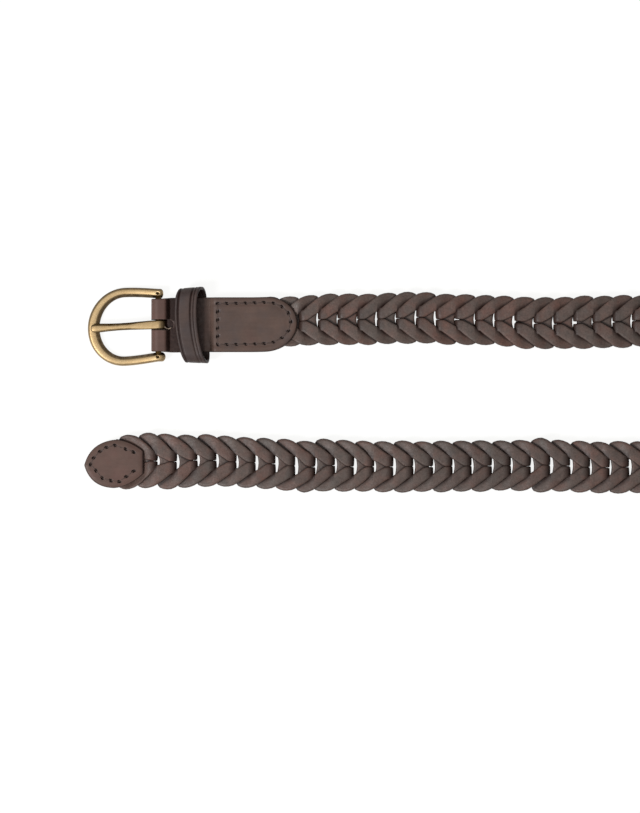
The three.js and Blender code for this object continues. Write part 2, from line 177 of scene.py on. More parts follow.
# Round the section of the prong, for its round waist and for its flat ends; tarnish darkens its sides and
# underside, partly as tarnish and partly as painted shade
PRONG_SECTION = np.array(
    [
        (-1.00, -1.00, -0.55, 1.00), (-1.00, -1.00, 0.25, 0.90), (-0.86, -0.97, 0.60, 0.60),
        (-0.52, -0.86, 0.94, 0.60), (-0.36, -0.74, 1.00, 0.14), (0.28, 0.64, 1.00, 0.18),
        (0.44, 0.78, 0.92, 0.75), (0.78, 0.92, 0.58, 1.00), (1.00, 1.00, 0.25, 1.00),
        (1.00, 1.00, -0.55, 1.00), (0.90, 0.90, -0.95, 0.80), (-0.90, -0.90, -0.95, 0.80),
    ],
    dtype=[("across", float), ("across_flat", float), ("height", float), ("tarnish", float)],
)
# Half width, thickness and flatness of the prong along its straight part: 0 at the tip, 1 at the bar
PRONG_STATIONS = np.array(
    [
        (0.000, 0.00, 0.00, 0.5), (0.008, 0.50, 0.60, 0.5), (0.030, 0.86, 0.95, 0.5),
        (0.080, 1.00, 1.00, 0.4), (0.170, 0.97, 1.00, 0.2), (0.280, 0.86, 1.00, 0.0),
        (0.420, 0.80, 1.00, 0.0), (0.580, 0.82, 1.00, 0.1), (0.710, 0.90, 1.00, 0.8),
        (0.860, 0.98, 1.00, 1.0), (1.000, 1.00, 1.00, 1.0),
    ],
    dtype=[("along", float), ("width", float), ("thickness", float), ("flat", float)],
)


def linear_colour(hex_colour):
    """An sRGB hex value as linear red, green, blue and alpha: each channel is decoded with the sRGB
    curve."""
    value = hex_colour.lstrip("#")
    channels = np.array([int(value[i : i + 2], 16) for i in (0, 2, 4)]) / 255
    linear = np.where(channels <= 0.04045, channels / 12.92, ((channels + 0.055) / 1.055) ** 2.4)
    return (*linear.tolist(), 1.0)


def length(name, description, millimetres):
    """A length that the user can change, given in millimetres."""
    default = millimetres * MM
    return FloatProperty(name=name, description=description, default=default, unit="LENGTH", precision=4)


def colour(name, description, hex_colour):
    """A colour that the user can change, given as sRGB hex."""
    default = linear_colour(hex_colour)
    return FloatVectorProperty(name=name, description=description, default=default, size=4, subtype="COLOR")


class BraidSizes(bpy.types.PropertyGroup):
    """Sizes of the chain of links and of the way it lies"""

    link_count: IntProperty(name="Links", description="Links in the whole braid", default=95)
    pitch: length("Pitch", "From one fold to the next", 9.08)
    width: length("Width", "Width of the braid", 23.6)
    first_fold: length("First fold", "From the bar to the first link", 37.4)
    last_fold: length("Last fold", "From the last link's fold to the tip", 24.7)
    shift: length("Shift", "How far the braid sits beside the strap", 2.0)
    spacing: length("Spacing", "Between the two strips", 67.2)
    tip_past_bar: length("Tip past bar", "How far the tip lies past the bar", 34.2)
    turn_radius: length("Turn radius", "Radius of the round turn", 55.0)
    ease_radius: length("Ease radius", "Radius of the bends into the turn", 120.0)
    bow_height: length("Bow", "Sideways bow of the tip strip", 2.3)
    bow_from_tip: length("Bow place", "From the tip to the bow's crest", 46.0)
    bow_reach: length("Bow reach", "Half length of the bow", 37.0)


class StrapSizes(bpy.types.PropertyGroup):
    """Sizes of the folded strap, its stitches, the keeper and the tip patch"""

    leather: length("Leather", "Thickness of the strap", 1.6)
    width: length("Width", "Width of the strap", 25.3)
    rise: length("Rise", "How far the tab's end lies to the left", 1.1)
    neck: length("Neck", "Thickness at the neck", 2.9)
    neck_start: length("Neck start", "From the bar to the pressed neck", 4.7)
    neck_end: length("Neck end", "From the bar to the end of the neck", 24.3)
    neck_ramp: length("Neck ramp", "Length of the rise to the tab", 2.4)
    tab_end: length("Tab end", "From the bar to the end of the tab", 64.1)
    tab_rounding: length("Tab rounding", "Length of the rounded end", 14.8)
    bar: length("Bar", "Diameter of the bar", 2.8)
    gap: length("Gap", "Clearance of touching pieces", 0.3)
    slot_side: length("Slot side", "Half width of the prong's slot", 2.4)
    slot_left: length("Slot left", "How far the slot lies beside the middle", 0.3)
    slot_end: length("Slot end", "From the bar to the end of the slot", 7.0)
    stitch_inset: length("Stitch inset", "From the tab's edge to its stitches", 3.15)
    stitch_start: length("Stitch start", "From the bar to the first stitches", 27.4)
    tab_stitches: IntProperty(name="Tab stitches", description="Holes round the sides and end", default=19)
    thread: length("Thread", "Diameter of the thread", 0.56)
    keeper_width: length("Keeper width", "Size of the keeper across the belt", 35.4)
    keeper_height: length("Keeper height", "Height of the keeper", 12.5)
    keeper_band: length("Keeper band", "Size of the keeper along the belt", 10.2)
    keeper_corner: length("Keeper corner", "Radius of its corners", 5.2)
    keeper_foot: length("Keeper foot", "From the bar to its lower edge", 13.6)
    keeper_lean: length("Keeper lean", "How far its top leans to the buckle", 6.0)
    keeper_twist: length("Keeper twist", "Skew of its top band", 1.65)
    keeper_bulge: length("Keeper bulge", "Bow of its top band", 2.55)
    patch_length: length("Patch length", "Length of the tip patch", 27.3)
    patch_width: length("Patch width", "Width of the tip patch", 22.3)
    patch_end: length("Patch end", "Width of its square end", 10.4)


class BuckleSizes(bpy.types.PropertyGroup):
    """Sizes of the cast frame and of the prong"""

    reach: length("Reach", "From the bar to the edge of the bow", 32.7)
    width: length("Width", "Widest place of the frame", 36.1)
    bow_length: length("Bow length", "Length of the elliptic bow", 17.1)
    bow_band: length("Bow band", "Width of its metal", 5.4)
    arm_band: length("Arm band", "Width of an arm", 4.35)
    height: length("Height", "Thickness of the frame", 3.4)
    lug_length: length("Lug length", "How far a lug passes the bar", 3.4)
    lug_inside: length("Lug inside", "Half of the room between the lugs", 12.45)
    skew: FloatProperty(name="Skew", description="Sideways set of the bow for each length", default=0.048)
    prong_skew: FloatProperty(name="Prong skew", description="The same for the prong", default=0.06)
    prong_left: length("Prong left", "How far its root lies beside the middle", 0.3)
    prong: length("Prong", "Thickness of the prong", 1.5)
    prong_width: length("Prong width", "Widest place of the prong", 4.1)
    prong_from_edge: length("Prong from edge", "From the bow's edge to the tip", 1.4)
    prong_wrap: FloatProperty(
        name="Prong wrap",
        description="How far it curls round the bar",
        default=math.radians(270),
        unit="ROTATION",
    )


class BeltColours(bpy.types.PropertyGroup):
    """Colours of the finishes"""

    braid: colour("Braid", "Leather of the links", "#50413b")
    braid_warm: colour("Braid, warm", "Redder links", "#583f37")
    braid_cool: colour("Braid, cool", "Greyer links", "#49403b")
    strap: colour("Strap", "Leather of the strap, keeper and patch", "#52413a")
    # Also the colour of painted shade: in the braid's creases and round its folds, and on the darker places of
    # the strap, keeper and patch
    cut_edge_and_shade: colour("Cut edge", "Dyed edges of the leather", "#200f0a")
    strap_warm: colour("Strap, warm", "Redder parts of it", "#57403a")
    strap_cool: colour("Strap, cool", "Greyer parts of it", "#443b3a")
    thread: colour("Thread", "Waxed thread", "#40302a")
    hole: colour("Hole", "Inside of a stitch hole", "#1c0e0a")
    brass: colour("Brass", "Aged brass", "#b49d78")
    tarnish: colour("Tarnish", "Dark sides of the brass", "#402e12")
    floor: colour("Floor", "Pale paper floor", "#fbfbfa")


def smooth_step(value, low, high):
    """Rises from 0 at low to 1 at high with level ends: three squares less two cubes of the share."""
    share = np.clip((value - low) / (high - low), 0.0, 1.0)
    return share * share * (3 - 2 * share)


def curve_through(table, samples):
    """Smooth curve through the rows of a table: cubic between rows, with each row's slope the mean of
    its sides. samples are places in rows, such as 0.5 halfway from the first row to the second."""
    rows = np.array(table.tolist())
    slopes = np.gradient(rows, axis=0)
    index = np.clip(np.floor(samples).astype(int), 0, len(rows) - 2)
    t = (samples - index)[:, None]
    start, end = rows[index], rows[index + 1]
    rise_start, rise_end = slopes[index], slopes[index + 1]
    return (
        (2 * t**3 - 3 * t**2 + 1) * start
        + (t**3 - 2 * t**2 + t) * rise_start
        + (3 * t**2 - 2 * t**3) * end
        + (t**3 - t**2) * rise_end
    )


def grid_quads(rows, columns, wrap_rows, wrap_columns):
    """Corner numbers of the quads of a grid of points, joined to its start along rows or columns where
    wrapped."""
    r = np.arange(rows if wrap_rows else rows - 1)
    c = np.arange(columns if wrap_columns else columns - 1)
    r, c = np.meshgrid(r, c, indexing="ij")
    next_r, next_c = (r + 1) % rows, (c + 1) % columns
    corners = (r * columns + c, next_r * columns + c, next_r * columns + next_c, r * columns + next_c)
    return np.stack(corners, axis=-1).reshape(-1, 4)


def repeated_quads(count, rows, columns, wrap_rows):
    """Corner numbers of the quads of many like grids, one after another, each joined round its
    columns."""
    quads = grid_quads(rows, columns, wrap_rows, True)
    return (np.arange(count)[:, None, None] * rows * columns + quads[None]).reshape(-1, 4)


def new_piece(name, points, quads, material, body, weld=True, attributes=None):
    """A smooth closed mesh from points in metres and quads, its doubles merged and its faces turned
    out, riding on a body and taking its finish from a slot."""
    mesh = bpy.data.meshes.new(name)
    mesh.from_pydata(points.reshape(-1, 3).tolist(), [], quads.tolist())
    for key, values in (attributes or {}).items():
        layer = mesh.attributes.new(key, "FLOAT", "POINT")
        layer.data.foreach_set("value", values.ravel().astype(np.float32))
    work = bmesh.new()
    work.from_mesh(mesh)
    if weld:
        bmesh.ops.remove_doubles(work, verts=work.verts, dist=2e-6)
        bmesh.ops.dissolve_degenerate(work, edges=work.edges, dist=1e-7)
    bmesh.ops.recalc_face_normals(work, faces=work.faces)
    work.to_mesh(mesh)
    work.free()
    mesh.polygons.foreach_set("use_smooth", np.ones(len(mesh.polygons), bool))
    mesh.materials.append(material)
    piece = bpy.data.objects.new(name, mesh)
    bpy.context.scene.collection.objects.link(piece)
    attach(piece, body)
    return piece


def cut_away(piece, points, quads, material):
    """Cuts a closed solid, given as points and quads, out of a piece; the cut faces take a material."""
    mesh = bpy.data.meshes.new("cutter")
    mesh.from_pydata(points.reshape(-1, 3).tolist(), [], quads.tolist())
    mesh.materials.append(material)
    work = bmesh.new()
    work.from_mesh(mesh)
    bmesh.ops.holes_fill(work, edges=work.edges)
    bmesh.ops.recalc_face_normals(work, faces=work.faces)
    work.to_mesh(mesh)
    work.free()
    cutter = bpy.data.objects.new("cutter", mesh)
    bpy.context.scene.collection.objects.link(cutter)
    cut = piece.modifiers.new("cut", "BOOLEAN")
    cut.object = cutter
    cut.solver = "EXACT"
    cut.material_mode = "TRANSFER"
    depsgraph = bpy.context.evaluated_depsgraph_get()
    made = bpy.data.meshes.new_from_object(piece.evaluated_get(depsgraph))
    piece.modifiers.clear()
    old = piece.data
    piece.data = made
    made.name = piece.name
    bpy.data.meshes.remove(old)
    bpy.data.objects.remove(cutter)
    bpy.data.meshes.remove(mesh)


def from_bar(x, y, height):
    """Points in the frame, from distances along and beside the bar and heights above the surface."""
    return np.stack(np.broadcast_arrays(BAR[0] + x, BAR[1] + y, height), axis=-1)


def route_stretches(sizes):
    """The belt's centre line as lines and arcs: start distance, x, y, heading and bend of each."""
    route = sizes.first_fold + (sizes.link_count - 1) * sizes.pitch + sizes.last_fold
    both = sizes.turn_radius + sizes.ease_radius
    ease = math.acos((sizes.spacing / 2 + sizes.ease_radius) / both)
    turn = math.pi + 2 * ease
    turn_length = 2 * sizes.ease_radius * ease + sizes.turn_radius * turn
    straight = (route - turn_length - sizes.tip_past_bar) / 2
    lengths = (straight, sizes.ease_radius * ease, sizes.turn_radius * turn, sizes.ease_radius * ease)
    bends = (0.0, 1 / sizes.ease_radius, -1 / sizes.turn_radius, 1 / sizes.ease_radius, 0.0)
    rows = [(0.0, 0.0, sizes.shift, 0.0, bends[0])]
    for stretch, bend, next_bend in zip(lengths, bends, bends[1:]):
        start, x, y, heading, _ = rows[-1]
        end = heading + stretch * bend
        if bend == 0.0:
            x += stretch * math.cos(heading)
            y += stretch * math.sin(heading)
        else:
            x += (math.sin(end) - math.sin(heading)) / bend
            y -= (math.cos(end) - math.cos(heading)) / bend
        rows.append((start + stretch, x, y, end, next_bend))
    return np.array(rows), route


def on_route(sizes, distance, across, height):
    """Points at a distance along the centre line and a distance to its left: along a line they follow
    its heading, along an arc they turn about its centre, and near the tip they bow sideways by a bell
    curve."""
    stretches, route = route_stretches(sizes)
    index = np.clip(np.searchsorted(stretches[:, 0], distance, side="right") - 1, 0, len(stretches) - 1)
    start, x0, y0, heading0, bend = (stretches[index, i] for i in range(5))
    gone = distance - start
    heading = heading0 + gone * bend
    safe = np.where(bend == 0, 1.0, bend)
    x = x0 + np.where(bend == 0, gone * np.cos(heading0), (np.sin(heading) - np.sin(heading0)) / safe)
    y = y0 + np.where(bend == 0, gone * np.sin(heading0), -(np.cos(heading) - np.cos(heading0)) / safe)
    from_crest = (route - distance - sizes.bow_from_tip) / sizes.bow_reach
    side = across - sizes.bow_height * np.exp(-from_crest * from_crest)
    return from_bar(x - side * np.sin(heading), y + side * np.cos(heading), height)


def link_loop(sizes):
    """One link as a closed band in its own plan: along, across and height of its skin. A strand rises
    round the fold on a half ellipse, runs to the middle of the eye along the stations, and is mirrored
    to the other side and to the back; its section is carried round this loop, square to the leather."""
    thickness = BELT_THICKNESS / 4
    strand = curve_through(LINK_STATIONS, np.linspace(0, len(LINK_STATIONS) - 1, STRAND_STEPS))
    top = strand[0]
    angle = np.linspace(0, math.pi / 2, FOLD_STEPS, endpoint=False)
    back = 0.190 * np.cos(angle)
    fold = np.stack(
        [
            top[0] - back,
            np.full_like(angle, top[1]),
            top[2] - back * 0.92,
            top[3] - 0.045 * np.cos(angle) ** 2,
            1.5 * np.sin(angle),
        ],
        axis=1,
    )
    quarter = np.concatenate([fold, strand])
    left, under = np.array([1, -1, 1, -1, 1]), np.array([1, 1, 1, 1, -1])
    loop = np.concatenate(
        [quarter, (quarter * left)[-2::-1], (quarter * left * under)[1:], (quarter * under)[-2:0:-1]]
    )
    plan = np.array([sizes.pitch, sizes.width / 2, thickness])
    inner = loop[:, [0, 1, 4]] * plan
    outer = loop[:, [2, 3, 4]] * plan
    across = STRAND_SECTION["across"][None, :, None]
    middle = (inner + outer)[:, None] / 2 + across * (outer - inner)[:, None] / 2
    along = np.roll(middle, -1, axis=0) - np.roll(middle, 1, axis=0)
    outward = np.cross(along, np.broadcast_to((outer - inner)[:, None], along.shape))
    outward /= np.linalg.norm(outward, axis=-1, keepdims=True)
    return middle + outward * STRAND_SECTION["height"][None, :, None] * thickness / 2


def patch_half_width(strap, from_tip):
    """Half width of the tip patch at a distance from its tip, from two parabolic curves."""
    # The curves meet at half the length, and their handles lie at 0.10 and 0.74 of it
    t = np.linspace(0, 1, 60)
    side, end = strap.patch_width / 2, strap.patch_end / 2
    first = np.stack([2 * t * (1 - t) * 0.10 + t**2 * 0.5, 2 * t * (1 - t) * 0.92 + t**2], axis=1)
    second_x = (1 - t) ** 2 * 0.5 + 2 * t * (1 - t) * 0.74 + t**2
    second_y = ((1 - t) ** 2 + 2 * t * (1 - t)) * side + t**2 * end
    x = np.concatenate([first[:, 0], second_x[1:]]) * strap.patch_length
    y = np.concatenate([first[:, 1] * side, second_y[1:]])
    return np.interp(from_tip, x, y)


def tab_inset(strap, x, y):
    """Distance of a place inside the tab's edge: half width less distance from the axis along its
    straight sides, and the same share of an ellipse round its end."""
    side = strap.width / 2
    past = np.maximum(x - (strap.tab_end - strap.tab_rounding), 0) / strap.tab_rounding
    return side * (1 - np.sqrt(past**2 + (y / side) ** 2))


def patch_inset(strap, from_tip, across):
    """Distance of a place inside the tip patch's edge, to its curved side or its square end."""
    step = 0.2 * MM
    width = patch_half_width(strap, from_tip)
    rise = patch_half_width(strap, from_tip + step) - patch_half_width(strap, from_tip - step)
    slope = rise / (2 * step)
    return np.minimum((width - np.abs(across)) / np.sqrt(1 + slope**2), strap.patch_length - from_tip)


def tab_shift(strap, x):
    """How far the tab lies to the left at a distance from the bar: a smooth step towards its end."""
    return 0.2 * MM * smooth_step(x, 6 * MM, 20 * MM) + strap.rise * smooth_step(x, 42 * MM, 75 * MM)


def make_links(name, node, first, last, material, narrower, lighter=0.0):
    """Links first to last of the chain as one piece: each is the link's loop, set a little off true at
    random, carried to its fold on the route with the braid's stray, and pressed flat and narrow where
    the tab or the patch covers it. Each link's far end is drawn out at random, on average by narrower,
    which narrows the eye beyond it. lighter raises the tone of all of them."""
    sizes, strap = bpy.context.scene.belt_braid, bpy.context.scene.belt_strap
    rng = np.random.default_rng(SEED + first)
    count = last - first + 1
    loop = link_loop(sizes)
    # Each link is turned, slipped and spread a little, and its far end is drawn out
    turn = rng.normal(0, LINK_TURN, count)[:, None, None]
    slip = rng.normal(0, LINK_SLIP, count)[:, None, None]
    spread = 1 + rng.normal(0, LINK_SPREAD, count)[:, None, None]
    x, y, z = loop[None, ..., 0], loop[None, ..., 1] * spread, loop[None, ..., 2]
    beside = np.abs(loop[None, ..., 1]) / (sizes.width / 2) + 0 * slip
    along, beside = np.broadcast_arrays(x / sizes.pitch, beside)
    drawn = np.random.default_rng(SEED + first + 1).normal(narrower, LINK_DRAW, count)
    drawn = np.clip(drawn, -0.5 * MM, 0.7 * MM)[:, None, None]
    x = x + drawn * smooth_step(x, 1.45 * sizes.pitch, 1.85 * sizes.pitch)
    x, y = x + slip - turn * y, y + turn * (x - sizes.pitch)
    fold = sizes.first_fold + np.arange(first, last + 1)[:, None, None] * sizes.pitch
    _, route = route_stretches(sizes)
    mm_along = (fold + x) / MM
    # Its strands part at the fold, are pressed shut over the eye and follow the braid's stray
    part = np.clip(rng.normal(0.0, LINK_PARTING, count), -0.1 * MM, None)[:, None, None]
    y = y + np.sign(y) * part * (1 - smooth_step(x, 0.25 * sizes.pitch, 0.6 * sizes.pitch))
    hump = (y / EYE_REACH) ** 2 * np.exp(1 - (y / EYE_REACH) ** 2)
    left, wider, shut = (
        np.interp(mm_along, BRAID_STRAY["distance"], BRAID_STRAY[key]) for key in ("left", "spread", "shut")
    )
    y = y - np.sign(y) * np.minimum(shut * MM * hump, np.abs(y) * 0.8)
    y = y * wider + left * MM
    from_tip = route - fold - x
    # The patch holds the links in; past it they have their full width again
    room = patch_half_width(strap, np.maximum(from_tip, 0)) - 0.6 * MM
    room = room + 14 * MM * smooth_step(from_tip, 14 * MM, 20 * MM)
    y = np.clip(y, -room, room)
    place = on_route(sizes, fold + x, y, MIDDLE + z + 0 * x)
    # Under the tab and the patch the leather is pressed into the room between their leaves
    tab_x = place[..., 0] - BAR[0]
    tab = -tab_inset(strap, tab_x, place[..., 1] - BAR[1] - tab_shift(strap, tab_x))
    patch = -patch_inset(strap, np.minimum(from_tip, strap.patch_length * 2), y)
    core = (MIDDLE - strap.leather - strap.gap) / MIDDLE
    open_share = smooth_step(np.minimum(tab, patch), 0.0, 2.4 * MM)
    place[..., 2] = MIDDLE + (place[..., 2] - MIDDLE) * (core + (1 - core) * open_share)
    # What the leather's material reads: tone, warmth, the strand's cut edges, and the place on the link
    quads = repeated_quads(count, *loop.shape[:2], True)
    every = place.shape[:3]
    tone = np.broadcast_to(rng.uniform(0, 1, count)[:, None, None] + lighter, every)
    warmth = np.broadcast_to(rng.uniform(0, 1, count)[:, None, None], every)
    edge = np.clip(1.25 - 1.35 * np.abs(np.broadcast_to(STRAND_SECTION["height"], every)), 0, 1)
    attributes = {"tone": tone, "warmth": warmth, "edge": edge, "along": along, "beside": beside}
    piece = new_piece(name, place, quads, material, "strap", False, attributes)
    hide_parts(node)


def sheet_piece(
    name, middle, outward, thickness, inset, material, wrap_rows=False, relief=0.0, warmth=0.5, dark=0.0
):
    """A leather sheet with rounded cut edges: both skins lie half a thickness from the middle surface,
    less on a quarter circle near an edge, so that they meet along it. relief lowers the outer skin.
    warmth and dark are the shares of the redder leather and of the darker colour, which is partly painted
    shade, point by point."""
    bevel = 0.5 * MM
    share = np.clip(inset / bevel, 0, 1)
    half = thickness / 2 * np.sqrt(1 - (1 - share) ** 2)
    outer = middle + outward * (half - relief * share)[..., None]
    inner = middle - outward * half[..., None]
    rows, columns = inset.shape
    quads = grid_quads(rows, columns, wrap_rows, False)
    points = np.concatenate([outer.reshape(-1, 3), inner.reshape(-1, 3)])
    quads = np.concatenate([quads, quads[:, ::-1] + rows * columns])
    edge = np.clip(1.1 - inset / (bevel * 0.9), 0, 1)
    values = {"edge": edge, "warmth": edge * 0 + warmth, "dark": edge * 0 + dark}
    attributes = {key: np.concatenate([value.ravel(), value.ravel()]) for key, value in values.items()}
    return new_piece(name, points, quads, material, "strap", True, attributes)


def edge_spread(count, near, size):
    """Places from -1 to 1, close together within a short distance of both ends: 0, a few fine steps,
    then even."""
    fine = np.array([0.0, 0.1, 0.28, 0.55, 1.0]) * near / size
    even = np.linspace(-1 + fine[-1], 1 - fine[-1], count)
    return np.concatenate([-1 + fine[:-1], even, 1 - fine[:-1][::-1]])


def feed(tree, node, inputs):
    """Feeds a node's inputs, given by name or by number: a socket is linked and a value is put in."""
    for key, value in (inputs if isinstance(inputs, dict) else dict(enumerate(inputs))).items():
        if isinstance(value, bpy.types.NodeSocket):
            tree.links.new(value, node.inputs[key])
        else:
            node.inputs[key].default_value = value


def add_node(tree, kind, inputs=(), output=0, **settings):
    """Adds a shader node with its own settings, feeds its inputs and gives one of its outputs."""
    node = tree.nodes.new("ShaderNode" + kind)
    for key, value in settings.items():
        setattr(node, key, value)
    feed(tree, node, inputs)
    return node.outputs[output]


def new_material(name, **values):
    """A material with a bare Principled shader, with constants set on its own sockets."""
    material = bpy.data.materials.new(name)
    material.use_nodes = True
    shader = next(node for node in material.node_tree.nodes if node.type == "BSDF_PRINCIPLED")
    feed(material.node_tree, shader, {key.replace("_", " "): value for key, value in values.items()})
    material.diffuse_color = values["Base_Color"]
    return material, material.node_tree, shader, partial(add_node, material.node_tree)


def mottling(tree, size, detail=3.0, roughness=0.55, stretch=(1.0, 1.0, 1.0)):
    """A cloudy pattern in object space whose patches have a given size in metres, stretched along the
    axes."""
    place = add_node(tree, "TexCoord", output="Object")
    place = add_node(tree, "Mapping", {"Vector": place, "Scale": tuple(s / size for s in stretch)})
    pattern = {"Vector": place, "Scale": 1.0, "Detail": detail, "Roughness": roughness}
    return add_node(tree, "TexNoise", pattern, "Fac")


def dyed(tree, warmth, leather, redder, greyer):
    """A leather's colour by its warmth: from greyer at 0 over its own at a half to redder at 1."""
    node = partial(add_node, tree)
    red = node("MapRange", (warmth, 0.5, 1.0, 0.0, 1.0))
    grey = node("MapRange", (warmth, 0.0, 0.5, 1.0, 0.0))
    warm = node("Mix", {0: red, 6: leather, 7: redder}, 2, data_type="RGBA")
    return node("Mix", {0: grey, 6: warm, 7: greyer}, 2, data_type="RGBA")


def leather_skin(tree, shader, roughness, depth, strength):
    """The leather's roughness, from a pair of limits, and its grain: creased cells of about a
    millimetre, drawn coarse enough to show, under pores a quarter of that."""
    node = partial(add_node, tree)
    wax = node("MapRange", (mottling(tree, roughness[0]), 0.3, 0.7, *roughness[1:]))
    pores = node("Math", (mottling(tree, 0.22 * MM, 2.0, 0.5), 0.45), operation="MULTIPLY")
    grain = node("Math", (mottling(tree, 0.9 * MM, 4.0, 0.6), pores), operation="ADD")
    normal = node("Bump", {"Height": grain, "Strength": strength, "Distance": depth})
    feed(tree, shader, {"Roughness": wax, "Normal": normal})


def braid_leather():
    """Dyed vegetable-tanned leather of the links: brown that drifts redder and greyer, dark at the
    burnished edges, with painted shade in the creases beside the next link and round the fold, with a
    fine grain and a soft wax sheen."""
    colours = bpy.context.scene.belt_colours
    material, tree, shader, node = new_material(
        "dyed braid leather", Base_Color=colours.braid, Specular_IOR_Level=0.35
    )
    warmth, tone, edge, along, beside = (
        node("Attribute", output="Fac", attribute_name=name)
        for name in ("warmth", "tone", "edge", "along", "beside")
    )
    # Dye that drifts over 5 mm, blotches over 3.5 mm, and wear in spots of 0.7 mm
    drift = node("MapRange", (mottling(tree, 5 * MM, 3.0, 0.6), 0.32, 0.68, -0.35, 0.35))
    warmth = node("Math", (warmth, 0.5, 0.25), operation="MULTIPLY_ADD")
    warmth = node("Math", (warmth, drift), operation="ADD")
    cool = dyed(tree, warmth, colours.braid, colours.braid_warm, colours.braid_cool)
    blotch = node("MapRange", (mottling(tree, 3.5 * MM, 4.0, 0.65), 0.3, 0.7, -0.8, 0.8))
    tone = node("Math", (tone, blotch), operation="ADD")
    value = node("MapRange", (tone, -0.8, 2.65, 0.72, 1.465))
    grey = node("HueSaturation", {"Value": value, "Color": cool})
    wear_and_shadow = node("MapRange", (mottling(tree, 0.7 * MM, 4.0, 0.7), 0.4, 0.7, 0.0, 0.45))
    worn = node("Mix", {0: wear_and_shadow, 6: grey, 7: colours.cut_edge_and_shade}, 2, data_type="RGBA")
    burnish = node("MapRange", (edge, 0.0, 1.0, 0.0, 0.85))
    edged = node("Mix", {0: burnish, 6: worn, 7: colours.cut_edge_and_shade}, 2, data_type="RGBA")
    # Painted shade where a strand dives under the next link: past its edge, but not on the bar between the eyes
    next_edge = node("Math", (along, 0.54, -0.185), operation="MULTIPLY_ADD")
    past_next = node("Math", (beside, next_edge), operation="SUBTRACT")
    crease_width = node("MapRange", (along, 1.05, 1.75, 0.22, 0.07))
    depth = node("Math", (past_next, crease_width), operation="DIVIDE")
    under = node("MapRange", (depth, 0.0, 1.0, 1.0, 0.0))
    bar_edge = node("Math", (along, 0.60, -0.86), operation="MULTIPLY_ADD")
    inside_bar = node("Math", (bar_edge, beside), operation="SUBTRACT")
    on_bar = node("MapRange", (inside_bar, 0.0, 0.07, 0.0, 1.0))
    far = node("Math", (along, 1.35), operation="GREATER_THAN")
    bar = node("Math", (on_bar, far), operation="MULTIPLY")
    past_fold = node("Math", (along, 1.0), operation="GREATER_THAN")
    crease_shade = node("Math", (under, past_fold), operation="MULTIPLY")
    beside_bar = node("Math", (1.0, bar), operation="SUBTRACT")
    crease_shade = node("Math", (crease_shade, beside_bar), operation="MULTIPLY")
    crease_shade = node("Math", (crease_shade, 0.95), operation="MULTIPLY")
    # Painted shade where the strand turns down round its fold
    fold = node("MapRange", (along, 0.12, 0.42, 1.0, 0.0))
    fold = node("Math", (fold, 0.72), operation="MULTIPLY")
    shade = node("Math", (crease_shade, fold), operation="MAXIMUM")
    shaded = node("Mix", {0: shade, 6: edged, 7: colours.cut_edge_and_shade}, 2, data_type="RGBA")
    feed(tree, shader, {"Base Color": shaded})
    leather_skin(tree, shader, (1.5 * MM, 0.44, 0.60), 0.12 * MM, 0.7)
    return material


def strap_leather():
    """Smooth pull-up leather of the strap, keeper and patches: even brown with slow clouds, a dark
    burnished edge, darker places that are partly painted shade, pores, and an almost invisible brushed
    streak along the belt."""
    colours = bpy.context.scene.belt_colours
    material, tree, shader, node = new_material(
        "smooth strap leather", Base_Color=colours.strap, Specular_IOR_Level=0.2
    )
    warmth, edge, dark = (
        node("Attribute", output="Fac", attribute_name=name) for name in ("warmth", "edge", "dark")
    )
    # Clouds of 9 mm, dye that drifts over 14 mm, brush streaks of 1.2 by 10 mm, and spots of 1.1 mm that break
    # up the darker places and their painted shade
    cloud = node("MapRange", (mottling(tree, 9 * MM, 4.0, 0.6), 0.3, 0.7, 0.88, 1.12))
    streak = mottling(tree, 1.2 * MM, 2.0, 0.5, (0.12, 1.0, 1.0))
    streak = node("MapRange", (streak, 0.3, 0.7, -0.05, 0.05))
    value = node("Math", (cloud, streak), operation="ADD")
    drift = node("MapRange", (mottling(tree, 14 * MM), 0.3, 0.7, -0.3, 0.3))
    warmth = node("Math", (warmth, drift), operation="ADD")
    cool = dyed(tree, warmth, colours.strap, colours.strap_warm, colours.strap_cool)
    shade = node("HueSaturation", {"Value": value, "Color": cool})
    burnish = node("MapRange", (edge, 0.0, 1.0, 0.0, 0.75))
    edged = node("Mix", {0: burnish, 6: shade, 7: colours.cut_edge_and_shade}, 2, data_type="RGBA")
    spots = node("MapRange", (mottling(tree, 1.1 * MM, 4.0, 0.7), 0.3, 0.65, 0.78, 1.12))
    # The darker places, partly painted shade, broken up by the spots and mixed towards the edge colour
    dark = node("Math", (dark, spots), operation="MULTIPLY")
    darkened = node("Mix", {0: dark, 6: edged, 7: colours.cut_edge_and_shade}, 2, data_type="RGBA")
    feed(tree, shader, {"Base Color": darkened})
    leather_skin(tree, shader, (2 * MM, 0.42, 0.56), 0.07 * MM, 0.4)
    return material


def waxed_thread():
    """Waxed linen thread, dyed dark, with the twist of its half-millimetre plies along it."""
    colours = bpy.context.scene.belt_colours
    material, tree, shader, node = new_material("waxed thread", Base_Color=colours.thread, Roughness=0.6)
    place = node("TexCoord", output="Object")
    plies = {"Vector": place, "Scale": 0.32 / (0.5 * MM), "Distortion": 0.5}
    twist = node("TexWave", plies, "Fac", wave_type="BANDS", bands_direction="DIAGONAL")
    normal = node("Bump", {"Height": twist, "Strength": 0.8, "Distance": 0.06 * MM})
    feed(tree, shader, {"Normal": normal})
    return material


def matte_finish(name, colour_of_it, size, depth, strength, **values):
    """A finish of one colour whose surface is broken by fibres or pits of a given size and depth."""
    material, tree, shader, node = new_material(name, Base_Color=colour_of_it, **values)
    pits = {"Height": mottling(tree, size), "Strength": strength, "Distance": depth}
    feed(tree, shader, {"Normal": node("Bump", pits)})
    return material


